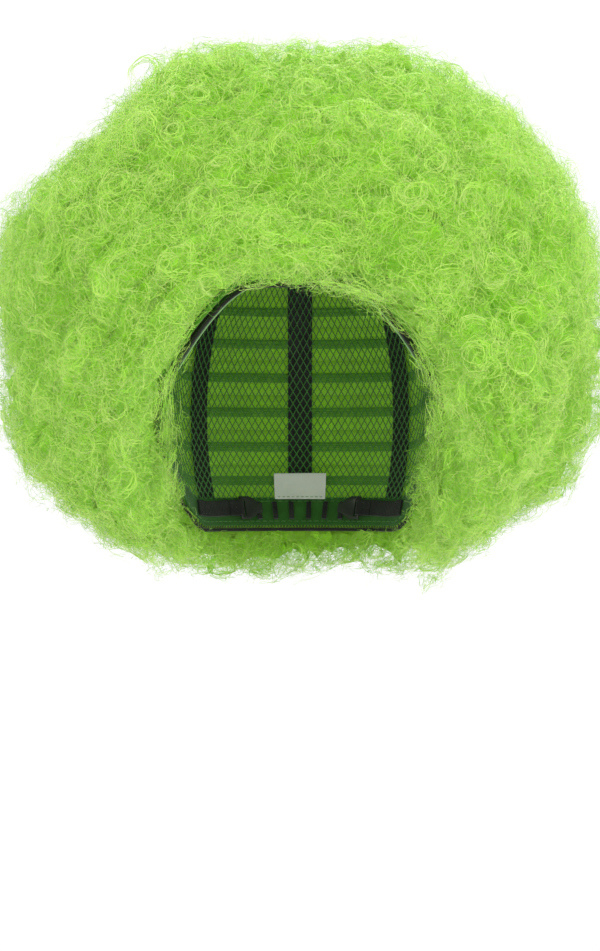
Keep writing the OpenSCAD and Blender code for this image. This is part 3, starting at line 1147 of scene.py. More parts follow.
    def ear_tab(self, side: Side) -> bpy.types.Object:
        """Makes the tongue of band in front of an ear, rounded at its lower end and bound round its edge.

        Args:
            side: Side of the head.

        Returns:
            The piece.
        """
        half_turned = HEAD.turn_of(self.tab_middle, HEAD.rim_ear, self.tab_width / 2)
        start = max(self.tab_middle - half_turned, self.front_end + self.seam)
        end = self.tab_middle + half_turned
        middle_turn, half = (start + end) / 2, (end - start) / 2
        off = sum(self.band_layer) / 2
        top_wide = HEAD.angle_of(HEAD.band_width)

        def span_at(azimuth: Array) -> tuple[Array, Array]:
            """Works out where the tab begins and ends.

            Args:
                azimuth: Degrees round the head, 0 at the face.

            Returns:
                Degrees down from the crown to its lower and its upper edge.
            """
            across = np.clip(np.abs(azimuth - middle_turn) / half, 0, 1)
            drop = HEAD.angle_of(self.tab_length) * np.sqrt(np.maximum(0, 1 - across ** self.tab_round))
            return HEAD.rim(azimuth) + drop, HEAD.rim(azimuth) - top_wide

        def at(u: Array, v: Array, layer: Array) -> Array:
            """Places points of the tab.

            Args:
                u: Shares across it.
                v: Shares up it.
                layer: Distance off the head form.

            Returns:
                The points.
            """
            azimuth = middle_turn + half * np.sin((u - 0.5) * math.pi)
            low, high = span_at(azimuth)
            point = HEAD.point(azimuth, low + (high - low) * v, layer)
            return point * np.array([side.value, 1, 1])

        def place(u: Array, v: Array) -> Array:
            """Middle of the tab's cloth, proud at its bound edge."""
            rim_share = np.minimum(np.minimum(u, 1 - u) * 3.5, v * 2.2)
            return at(u, v, off + self.hem_rise * (1 - ease(rim_share * 4 - 0.6)))

        flat = (self.tab_width, self.tab_length + HEAD.band_width)
        piece = sewn_sheet(f"ear_tongue_{side.word}", 30, 30, place, self.band_cloth, BAND_CLOTH, flat)
        threads = Strands()
        u, v = route(self.tab_seam, (60, 160, 60))
        low_off, high_off = self.band_layer
        for layer, sign in ((low_off + self.sunk, -1), (high_off - self.sunk, 1)):
            line = at(u, v, layer)
            run_of_stitches(threads, line, sign * HEAD.normal(line))
        with_threads(piece, threads, BAND_THREAD)
        return settle(piece, f"ear_tab_{side.word}")

    def edge_cord(self) -> bpy.types.Object:
        """Makes the gathered casing with the elastic in it, round the whole edge.

        Returns:
            The piece.
        """
        azimuth = np.arange(0, 360, 0.75)
        r = self.elastic_radius
        gap_out, gap_down = self.elastic_gap
        off = self.band_layer[1] + gap_out + r

        def middle(a: Array) -> Array:
            """Middle of the cord."""
            return HEAD.point(a, HEAD.rim(a) + HEAD.angle_of(r + gap_down), off)

        centre = middle(azimuth)
        along = unit(middle(azimuth + 1) - middle(azimuth - 1))
        out = HEAD.normal(centre)
        across = unit(np.cross(along, out))
        turn = np.linspace(0, 2 * math.pi, 10, endpoint=False)
        pulled = np.sin(np.arange(len(azimuth)) * math.pi * self.gather_pace)
        gather = 1 + self.gather_depth * pulled[:, None] * np.cos(turn * 2)[None, :]
        ring = out[:, None] * np.cos(turn)[None, :, None] + across[:, None] * np.sin(turn)[None, :, None]
        profiles = centre[:, None] + self.casing_share * r * gather[..., None] * ring
        length = float(path_lengths(centre)[-1])
        piece = hoop("edge_cord", profiles, ELASTIC_CLOTH, (length, 2 * math.pi * r))
        threads = Strands()
        for way in (-1, 1):
            foot_turn = np.arange(self.whip_stitches) * 360 / self.whip_stitches
            head_turn = foot_turn + way * 180 / self.whip_stitches
            foot_down = HEAD.rim(foot_turn) - HEAD.angle_of(self.whip_reach)
            foot = HEAD.point(foot_turn, foot_down, self.band_layer[1])
            head = middle(head_turn) + (r * 0.9) * HEAD.normal(middle(head_turn))
            step = np.array([0.0, 0.3, 0.7, 1.0])[None, :, None]
            lift = self.band_thread * np.array([-0.5, 1.5, 1.5, -0.5])[None, :, None]
            path = foot[:, None] + (head - foot)[:, None] * step + HEAD.normal(foot)[:, None] * lift
            threads.add(path, HEAD.normal(foot), np.full(self.whip_stitches, self.band_thread),
                        np.arange(self.whip_stitches) % SHADE_BINS, taper=0.0)
        with_threads(piece, threads, DARK_THREAD)
        return settle(piece, "edge_elastic")

    def net(self) -> bpy.types.Object:
        """Makes the stretch net of crossing threads, from the bands up to the crown patch.

        Returns:
            The piece.
        """
        threads = Strands()
        step = np.linspace(0, 1, 30)[None, :]
        first = np.arange(self.net_lines)[:, None] * 360 / self.net_lines
        lap_low, lap_high = self.net_lap
        high = self.patch_reach - lap_high
        for way in (-1, 1):
            azimuth = first + way * self.net_turn * (step + self.net_bow * step * (1 - step))
            low = HEAD.rim(azimuth) - HEAD.angle_of(HEAD.band_width - lap_low)
            path = HEAD.point(azimuth, low + (high - low) * step, self.net_layer)
            threads.add(path, HEAD.normal(path[:, 0]), np.full(self.net_lines, self.net_thread),
                        np.arange(self.net_lines) % SHADE_BINS, taper=0.0)
        piece = threads.piece("cap_net", NET_THREAD.material())
        return settle(piece, "crown_net")

    def patch(self) -> bpy.types.Object:
        """Makes the round patch that closes the crown.

        Returns:
            The piece.
        """
        off = sum(self.ribbon_layer) / 2

        def place(u: Array, v: Array) -> Array:
            """Middle of the patch, its pole at the end of each column."""
            return HEAD.point(360 * u, np.maximum(self.patch_reach * (1 - v), 1e-4), off)

        wide = 2 * math.radians(self.patch_reach) * HEAD.half_width
        piece = sewn_sheet("crown_disc", 64, 10, place, self.patch_cloth, BAND_CLOTH, (wide * 2, wide / 2),
                           closed=True)
        threads = Strands()
        turn = np.linspace(0, 360, 400)
        low_off, high_off = self.ribbon_layer
        for share in self.patch_seams:
            for layer, sign in ((low_off + self.patch_sunk, -1), (high_off - self.patch_sunk, 1)):
                line = HEAD.point(turn, self.patch_reach * share, layer)
                run_of_stitches(threads, line, sign * HEAD.normal(line))
        with_threads(piece, threads, BAND_THREAD)
        return settle(piece, "crown_patch")

    def ribbon(self, name: str, azimuth: float) -> bpy.types.Object:
        """Makes a ribbon from the edge up to the crown patch, with a thicker edge on each side.

        Args:
            name: CAD node that it stands for.
            azimuth: Its turn round the head.

        Returns:
            The piece.
        """
        off = sum(self.ribbon_layer) / 2
        past_band, short_of_patch = self.ribbon_under
        top = self.patch_reach + HEAD.angle_of(short_of_patch)

        def at(u: Array, v: Array, layer: float) -> Array:
            """Places points of the ribbon.

            Args:
                u: Shares up it.
                v: Shares across it.
                layer: Distance off the head form.

            Returns:
                The points.
            """
            side = 2 * v - 1
            turn_low = HEAD.turn_of(azimuth, float(HEAD.rim(azimuth)), self.ribbon_width / 2)
            low = HEAD.rim(azimuth + side * turn_low) - HEAD.angle_of(past_band)
            down = low + (top - low) * u
            a = math.radians(azimuth)
            radius = np.sin(np.radians(down)) * math.hypot(HEAD.half_width * math.cos(a),
                                                           HEAD.half_length * math.sin(a))
            return HEAD.point(azimuth + side * np.degrees(self.ribbon_width / 2 / radius), down, layer)

        def place(u: Array, v: Array) -> Array:
            """Middle of the ribbon, proud at its woven edges."""
            edge, rise = self.ribbon_selvedge
            return at(u, v, off + rise * (np.minimum(v, 1 - v) < edge))

        t = np.linspace(0, 1, 300)
        length = float(path_lengths(at(t, 0 * t + 0.5, off))[-1])
        piece = sewn_sheet(name.replace("ribbon", "tape"), 44, 12, place, self.ribbon_cloth, RIBBON_CLOTH,
                           (length, self.ribbon_width))
        threads = Strands()
        for share in self.ribbon_seams:
            line = at(t, 0 * t + share, self.ribbon_layer[0] + self.ribbon_sunk)
            run_of_stitches(threads, line, -HEAD.normal(line))
        with_threads(piece, threads, DARK_THREAD)
        return settle(piece, name)

    def label(self) -> bpy.types.Object:
        """Makes the blank woven label, its lower end sewn to the nape band and its upper end free.

        Returns:
            The piece.
        """
        width, height = self.label_size
        half = HEAD.turn_of(180, HEAD.rim_nape, width / 2)
        low = HEAD.rim_nape - HEAD.angle_of(HEAD.band_width - self.label_hem)
        gap, half_thickness = self.label_off
        off = self.band_layer[0] - gap - half_thickness

        def at(u: Array, v: Array, layer: Array) -> Array:
            """Point of the label at shares across and up it."""
            return HEAD.point(180 + half * (2 * u - 1), low - HEAD.angle_of(height) * v, layer)

        def place(u: Array, v: Array) -> Array:
            """Middle of the label, its free end curling off the net."""
            return at(u, v, off - self.label_curl * ease(v * 1.4 - 0.4) * (0.7 + 0.3 * np.sin(u * 5)))

        piece = sewn_sheet("size_tag", 30, 20, place, self.label_cloth, LABEL_CLOTH, (width, height))
        threads = Strands()
        t = np.linspace(0.04, 0.96, 120)
        line = at(t, 0 * t + 0.08, off - self.label_sunk)
        run_of_stitches(threads, line, -HEAD.normal(line), 0.0018, 0.0025, 0.0002)
        with_threads(piece, threads, BAND_THREAD)
        return settle(piece, "size_label")

    def build(self) -> None:
        """Builds every piece of the cap."""
        tab_end = self.tab_middle + HEAD.turn_of(self.tab_middle, HEAD.rim_ear, self.tab_width / 2)
        self.net()
        self.patch()
        self.band("edge_band_front", "front_band", -self.front_end, self.front_end, 96)
        self.band("edge_band_nape", "nape_band", self.nape_start, 360 - self.nape_start, 120)
        self.lining()
        for side in Side:
            start, end = tab_end + self.seam, self.nape_start - self.seam
            if side is Side.RIGHT:
                start, end = -end, -start
            self.band(f"edge_band_{side.word}", f"side_band_{side.word}", start, end, 18)
            self.ear_tab(side)
        self.edge_cord()
        for place, azimuth in RIBBON_TURNS.items():
            self.ribbon(f"ribbon_{place}", azimuth)
        self.label()


@dataclass
class WeftTracks:
    """The sewn track of each row of hair: a folded weft, bound over its fibre roots and stitched down.

    The profile's corners are shares of half its width, and of the way out through its layer.
    """

    layer: tuple[float, float] = (3.0 * MM, 4.5 * MM)
    width: float = 5 * MM
    columns: int = 384
    profile: tuple[tuple[float, float], ...] = (
        (-1, 0.25), (-0.8, 0.0), (-0.3, 0.0), (0.3, 0.0), (0.8, 0.0), (1, 0.25),
        (1, 0.7), (0.75, 1.0), (0.0, 0.92), (-0.75, 1.0), (-1, 0.7))
    binding_depth: float = 0.13
    stitch_proud: float = 0.05 * MM

    def track(self, k: int) -> bpy.types.Object:
        """Makes the track of one row.

        Args:
            k: Number of the row, 1 at the edge.

        Returns:
            The piece.
        """
        share = CROWN_SHARE * (2 * k - 1) / (2 * ROWS)
        azimuth = np.arange(self.columns) * 360 / self.columns
        corner = np.array(self.profile)
        half = HEAD.angle_of(self.width) / 2
        low, high = self.layer
        faces = np.abs(corner[:, 1] - 0.5) > 0.2
        folds = self.binding_depth * (np.arange(self.columns) % 2)[:, None] * faces[None, :]
        inward = np.where(corner[:, 1] > 0.5, -folds, folds)
        down = (HEAD.rim(azimuth) * (1 - share))[:, None] - half * corner[None, :, 0]
        off = low + (high - low) * (corner[None, :, 1] + inward)
        profiles = HEAD.point(azimuth[:, None], down, off)
        length = float(path_lengths(profiles[:, 0])[-1])
        piece = hoop(f"weft_binding_{k:02d}", profiles, WEFT_CLOTH, (length, 2 * self.width))
        threads = Strands()
        turn = np.linspace(0, 360, 721)
        line = HEAD.point(turn, HEAD.rim(turn) * (1 - share), low - self.stitch_proud)
        run_of_stitches(threads, line, -HEAD.normal(line), 0.0030, 0.0042, 0.0003)
        with_threads(piece, threads, WEFT_THREAD)
        return settle(piece, f"weft_track_{k:02d}")

    def build(self) -> None:
        """Builds all the tracks."""
        for k in range(1, ROWS + 1):
            self.track(k)


# ---- Adjusters ----


def bevelled_copy(node: str, name: str, width: float) -> bpy.types.Object:
    """Copies a CAD node's shape as a new piece, merged and with rounded edges.

    Args:
        node: The CAD node.
        name: Name of the piece.
        width: Width of the rounding.

    Returns:
        The piece.
    """
    source = next(o for o in bpy.context.scene.objects if o.get("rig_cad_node") == node)
    piece = bpy.data.objects.new(name, source.data.copy())
    piece.data.name = name
    piece.data.materials.clear()
    bpy.context.scene.collection.objects.link(piece)
    with whole_mesh_open(piece):
        bpy.ops.mesh.remove_doubles(threshold=2 * MERGE_REACH)
        bpy.ops.mesh.dissolve_limited(angle_limit=math.radians(4))
        bpy.ops.mesh.normals_make_consistent(inside=False)
    round_edges(piece, width, sharp=40, smooth=35)
    return piece


@dataclass
class Adjuster:
    """One adjuster at the nape: elastic strap, its folded end, the hook and the loops.

    A box seam's corners are shares along and across the strap. In the fold, distances lie along the
    pull and in towards the head, from the middle of the hook's bar.
    """

    side: Side
    strap_width: float = 9 * MM
    strap_thickness: float = 1.1 * MM
    strap_start: float = 126.0
    strap_lie: float = 6.0
    sewn_off: float = -0.75 * MM
    fold_radius: float = 1.7 * MM
    tail: float = 5 * MM
    gap: float = 0.3 * MM
    ribs: int = 22
    rib_depth: float = 0.07 * MM
    cloth_share: float = 0.85
    sewn_share: float = 0.2
    sunk: float = 0.02 * MM
    box_seam: tuple[tuple[float, float], ...] = (
        (0.04, 0.12), (0.04, 0.88), (0.2, 0.88), (0.2, 0.12), (0.04, 0.12), (0.2, 0.88))
    fold_cloth: float = 0.5 * MM
    fold_wrap: float = 125.0
    fold_loop: float = 1.3 * MM
    fold_half: float = 0.28 * MM
    fold_neck: float = 2.3 * MM
    fold_face: float = 0.54 * MM
    fold_seams: tuple[float, float] = (1.2 * MM, 2.9 * MM)
    hook_round: float = 0.22 * MM
    loop_round: float = 0.15 * MM
    bar: Array = field(init=False)
    pull: Array = field(init=False)
    up: Array = field(init=False)

    def __post_init__(self) -> None:
        """Takes the bar's place and the ways it moves from the frame's joints."""
        joints = {joint["name"]: joint for joint in frame["joints"]}
        swing, stretch = (joints[f"{self.side.word}_{kind}"] for kind in ("hook_swing", "strap_stretch"))
        axis = np.array(swing["axis"])
        self.bar, self.pull = np.array(swing["pos_m"]), unit(np.array(stretch["axis"]))
        self.up = unit(axis) * np.sign(axis[2])

    @property
    def inward(self) -> Array:
        """Direction in towards the head at the bar."""
        across = unit(np.cross(self.up, self.pull))
        return across * self.side.value

    def world(self, local: Array) -> Array:
        """Points given along the pull, in towards the head and up the bar, in the frame."""
        return self.bar + local @ np.stack([self.pull, self.inward, self.up])

    def band_point(self, azimuth: float) -> Array:
        """Point of the strap's middle where it lies on the band."""
        middle = HEAD.rim(azimuth) - HEAD.angle_of(HEAD.band_width) / 2
        return HEAD.point(azimuth, middle, self.sewn_off) * np.array([self.side.value, 1, 1])

    def strap(self) -> bpy.types.Object:
        """Makes the ribbed elastic from the band to the folded end.

        Returns:
            The piece.
        """
        sewn = self.band_point(self.strap_start)
        onward = unit(self.band_point(self.strap_start + self.strap_lie) - sewn)
        tail = self.bar - (self.fold_radius + self.tail + self.gap) * self.pull
        sewn_in = -HEAD.normal(sewn)
        sewn_up = unit(np.cross(onward, sewn_in)) * self.side.value
        third = np.linalg.norm(tail - sewn) / 3

        def at(u: Array, v: Array, layer: Array) -> Array:
            """Places points of the strap.

            Args:
                u: Shares along it.
                v: Shares across it.
                layer: Distance in towards the head from its middle.

            Returns:
                The points.
            """
            t = np.asarray(u)[:, None]
            path = ((1 - t) ** 3 * sewn + 3 * (1 - t) ** 2 * t * (sewn + third * onward)
                    + 3 * (1 - t) * t * t * (tail - third / 2 * self.pull) + t ** 3 * tail)
            up = unit((1 - t) * sewn_up + t * self.up)
            inward = unit((1 - t) * sewn_in + t * self.inward)
            across = (np.asarray(v)[:, None] - 0.5) * self.strap_width
            return path + across * up + np.asarray(layer)[..., None] * inward

        def place(u: Array, v: Array) -> Array:
            """Middle of the strap, rippled by its elastic ribs."""
            return at(u, v, self.rib_depth * np.cos(u * 2 * math.pi * self.ribs))

        t = np.linspace(0, 1, 200)
        length = float(path_lengths(at(t, 0 * t + 0.5, 0 * t))[-1])
        piece = sewn_sheet(f"strap_elastic_{self.side.word}", 6 * self.ribs, 10, place,
                           self.strap_thickness * self.cloth_share, ELASTIC_CLOTH,
                           (length, self.strap_width))
        threads = Strands()
        box_u, box_v = route(self.box_seam, (40, 40, 40, 40, 60))
        line = at(box_u, box_v, np.full(len(box_u), self.strap_thickness / 2 - self.sunk))
        run_of_stitches(threads, line, np.tile(sewn_in, (len(line), 1)), 0.0014, 0.0019, 0.00018)
        with_threads(piece, threads, DARK_THREAD)
        settle(piece, f"strap_{self.side.word}", None)
        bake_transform(piece)
        return piece

    def folded_end(self) -> bpy.types.Object:
        """Makes the end of the strap, folded round the hook's bar and sewn to itself.

        Returns:
            The piece.
        """
        tail_end = self.fold_radius + self.tail
        turn = np.radians(np.linspace(self.fold_wrap, -self.fold_wrap, 40))
        circle = self.fold_loop * np.stack([np.cos(turn), np.sin(turn)], axis=1)
        back = np.linspace(0, 1, 16)[:, None]
        start, neck = np.array([-tail_end, self.fold_half]), np.array([-self.fold_neck, self.fold_half])
        upper = np.concatenate([start + (neck - start) * back, neck + (circle[:1] - neck) * ease(back[1:])])
        lower = upper[::-1] * np.array([1, -1])
        line = np.concatenate([upper, circle[1:-1], lower])
        lengths = path_lengths(line)

        def place(u: Array, v: Array) -> Array:
            """Places the middle of the folded elastic.

            Args:
                u: Shares along it.
                v: Shares across it.

            Returns:
                The points.
            """
            at = u * lengths[-1]
            local = np.stack([np.interp(at, lengths, line[:, 0]), np.interp(at, lengths, line[:, 1]),
                              (v - 0.5) * self.strap_width], axis=-1)
            return self.world(local)

        piece = sewn_sheet(f"strap_fold_{self.side.word}", 90, 10, place, self.fold_cloth, ELASTIC_CLOTH,
                           (float(lengths[-1]), self.strap_width))
        threads = Strands()
        across = np.linspace(-0.42, 0.42, 60) * self.strap_width
        seam_end, seam_neck = self.fold_seams
        for x in (-tail_end + seam_end, -seam_neck):
            for sign in (-1, 1):
                local = np.stack([0 * across + x, 0 * across + sign * self.fold_face, across], axis=-1)
                outward = np.tile(sign * self.inward, (len(across), 1))
                run_of_stitches(threads, self.world(local), outward, 0.0014, 0.0019, 0.00016)
        with_threads(piece, threads, DARK_THREAD)
        return settle(piece, f"strap_end_{self.side.word}", f"strap_end_{self.side.word}")

    def build(self) -> None:
        """Builds the adjuster's pieces."""
        word = self.side.word
        self.strap()
        self.folded_end()
        hook = bevelled_copy(f"hook_{word}", f"hook_moulding_{word}", self.hook_round)
        hook.data.materials.append(PlasticFinish().material())
        settle(hook, f"hook_{word}", f"hook_{word}")
        loops = bevelled_copy(f"loops_{word}", f"loop_tapes_{word}", self.loop_round)
        loops.data.materials.append(LOOP_CLOTH.material())
        settle(loops, f"loops_{word}")


# ---- Hair ----


@dataclass(frozen=True)
class Swell:
    """One broad rise or hollow in the afro's outline. Lengths in metres."""

    place: tuple[float, float, float]
    height: float
    reach: float

    def at(self, points: Array) -> Array:
        """Height of the swell at points."""
        far = np.linalg.norm(points - np.array(self.place), axis=-1)
        return self.height * np.exp(-0.5 * (far / self.reach) ** 2)


@dataclass(frozen=True)
class Ripple:
    """A size of soft lobe all over the afro, from waves of random direction. Lengths in metres."""

    height: float
    lengths: tuple[float, float]

    def at(self, points: Array, waves: int, draw: np.random.Generator) -> Array:
        """Height of the lobes.

        Args:
            points: Where it is wanted.
            waves: Waves that are added up.
            draw: Source of the random draws.

        Returns:
            Heights in metres, one for each point.
        """
        total = np.zeros(points.shape[:-1])
        size = self.height * math.sqrt(2 / waves)
        for _ in range(waves):
            wave = unit(draw.normal(size=3)) * 2 * math.pi / draw.uniform(*self.lengths)
            total += size * np.sin(points @ wave + draw.uniform(0, 2 * math.pi))
        return total


@dataclass(frozen=True)
class Lumps:
    """How far the afro's surface stands in or out at a place."""

    seed: int = 11
    waves: int = 14
    base: float = -0.0035
    swells: tuple[Swell, ...] = (
        Swell((-0.108, 0.0, 0.150), -0.016, 0.042),
        Swell((0.115, 0.0, 0.150), -0.004, 0.030),
        Swell((-0.060, -0.012, 0.186), 0.009, 0.014),
        Swell((0.044, -0.010, 0.190), 0.015, 0.011),
        Swell((0.150, 0.0, -0.030), 0.009, 0.026),
        Swell((-0.146, 0.0, -0.022), 0.006, 0.022),
        Swell((-0.122, 0.0, -0.058), -0.008, 0.018),
        Swell((0.098, 0.0, -0.078), -0.008, 0.020),
    )
    ripples: tuple[Ripple, ...] = (
        Ripple(0.00448, (0.075, 0.13)),
        Ripple(0.00352, (0.022, 0.045)),
    )

    def height(self, points: Array) -> Array:
        """Works out how far the surface stands out, below 0 where it stands in.

        Args:
            points: Points near the hair's outer form.

        Returns:
            Heights in metres, one for each point.
        """
        draw = np.random.default_rng(self.seed)
        total = np.full(points.shape[:-1], self.base)
        for swell in self.swells:
            total += swell.at(points)
        for ripple in self.ripples:
            total += ripple.at(points, self.waves, draw)
        return total


@dataclass(frozen=True)
class Curl:
    """How one kind of strand grows. Lengths in metres; pairs are the least and the most."""

    density: float
    strands: int
    points: int
    radius: tuple[float, float]
    turns: tuple[float, float]
    depth: tuple[float, float]
    rise: tuple[float, float]
    tilt: float
    bundle: float
    frizz: float
    thickness: float
    proud: float


class CurlKind(Enum):
    """The kinds of flat crimped strand in the hair: curls in locks, and frizz between and over them."""

    LOCK = Curl(density=27000, strands=9, points=12, radius=(0.0035, 0.0075), turns=(0.4, 1.05),
                depth=(0.001, 0.006), rise=(0.0, 0.005), tilt=0.8, bundle=0.0011, frizz=0.0006,
                thickness=0.00019, proud=0.004)
    FRIZZ = Curl(density=134000, strands=3, points=13, radius=(0.002, 0.008), turns=(0.4, 1.5),
                 depth=(0.001, 0.008), rise=(-0.002, 0.004), tilt=1.2, bundle=0.0018, frizz=0.0012,
                 thickness=0.00012, proud=0.004)
    WISP = Curl(density=36000, strands=2, points=12, radius=(0.002, 0.007), turns=(0.4, 1.3),
                depth=(0.0, 0.004), rise=(0.003, 0.012), tilt=0.9, bundle=0.0015, frizz=0.0013,
                thickness=0.00009, proud=0.012)


@dataclass(frozen=True)
class Spread:
    """How the strands of the hair differ from each other.

    Root and rise are in metres. Start, phases and twist are in radians, shade is in shade bins, and the
    others are shares, apart from the cycles of each strand's frizz and the power of its sinking.
    """

    root: float = 0.0015
    lean: float = 0.6
    droop: float = 0.25
    start: float = 0.16
    turns: float = 0.07
    radius: float = 0.10
    rise: float = 0.0006
    widening: tuple[float, float] = (0.8, 0.35)
    sinking: float = 1.6
    cycles: tuple[float, ...] = (1.7, 3.3, 5.9)
    phases: float = 6.3
    thickness: tuple[float, float] = (0.75, 1.25)
    shade: float = 1.6
    twist: tuple[float, float] = (0.5, 1.5)


SPREAD = Spread()


@dataclass
class Strands:
    """Strands collected for one piece: thin tubes with three sides, or flat fibres, and their map."""

    points: list[Array] = field(default_factory=list)
    quads: list[Array] = field(default_factory=list)
    caps: list[Array] = field(default_factory=list)
    quad_map: list[Array] = field(default_factory=list)
    cap_map: list[Array] = field(default_factory=list)
    count: int = 0

    def add(self, paths: Array, aside: Array, thickness: Array, shades: Array, twist: Array | None = None,
            taper: float = 0.75) -> None:
        """Adds strands along paths.

        Args:
            paths: Points of each path, (strands, points, 3).
            aside: A direction off each path, (strands, 3).
            thickness: Radius, or half the width, of each strand.
            shades: Shade bin of each strand.
            twist: Turn of each flat fibre at each point; without it the strands are tubes.
            taper: Share by which a strand thins towards its tip.
        """
        number, length, _ = paths.shape
        along = unit(np.gradient(paths, axis=1))
        across = unit(np.cross(along, aside[:, None, :]))
        up = np.cross(across, along)
        t = np.linspace(0, 1, length)
        radius = (thickness[:, None] * (1 - taper * t[None, :] ** 3))[..., None]
        if twist is None:
            turns = np.array([0.5, 7 / 6, 11 / 6]) * math.pi + np.zeros((number, length, 1))
        else:
            turns = twist[..., None] + np.array([math.pi, 0.0])
        sides = turns.shape[-1]
        ring = np.cos(turns)[..., None] * across[:, :, None] + np.sin(turns)[..., None] * up[:, :, None]
        corners = paths[:, :, None, :] + radius[..., None] * ring
        index = self.count + np.arange(number * length * sides).reshape(number, length, sides)
        low, high = index[:, :-1], index[:, 1:]
        if twist is None:
            side, step = np.arange(3), (np.arange(3) + 1) % 3
            self.caps.append(np.concatenate([index[:, 0, :], index[:, -1, ::-1]]))
        else:
            side, step = np.array([1]), np.array([0])
        quads = np.stack([low[..., side], high[..., side], high[..., step], low[..., step]], axis=-1)
        self.points.append(corners.reshape(-1, 3))
        self.quads.append(quads.reshape(-1, 4))
        self.count += number * length * sides
        wide = 1 / SHADE_BINS
        left = (shades / SHADE_BINS + 0.15 * wide)[:, None, None]
        right = left + 0.7 * wide
        height = STRAND_LOW + (STRAND_HIGH - STRAND_LOW) * t
        shape = (number, length - 1, len(side))
        v_low, v_high = (np.broadcast_to(v[None, :, None], shape) for v in (height[:-1], height[1:]))
        u_left, u_right = np.broadcast_to(left, shape), np.broadcast_to(right, shape)
        self.quad_map.append(corner_map(u_left, v_low, u_right, v_high).reshape(-1, 2))
        if twist is None:
            end = left[:, 0, 0][:, None] + wide * np.array([0, 0.3, 0.6])
            for v in (STRAND_LOW, STRAND_HIGH - CAP_HEIGHT):
                corner = v + CAP_HEIGHT * np.array([0, 1, 0]) + 0 * end
                self.cap_map.append(np.stack([end, corner], -1).reshape(-1, 2))

    def piece(self, name: str, finish: bpy.types.Material) -> bpy.types.Object:
        """Makes a piece of the tubes collected so far.

        Args:
            name: Name of the piece.
            finish: Its material.

        Returns:
            The piece.
        """
        made = mesh_piece(name, *map(np.concatenate, (self.points, self.quads, self.caps)))
        maps = np.concatenate([*self.quad_map, *self.cap_map]).astype(np.float32)
        made.data.uv_layers.new(name="OFBake").data.foreach_set("uv", maps.ravel())
        made.data.materials.append(finish)
        return made


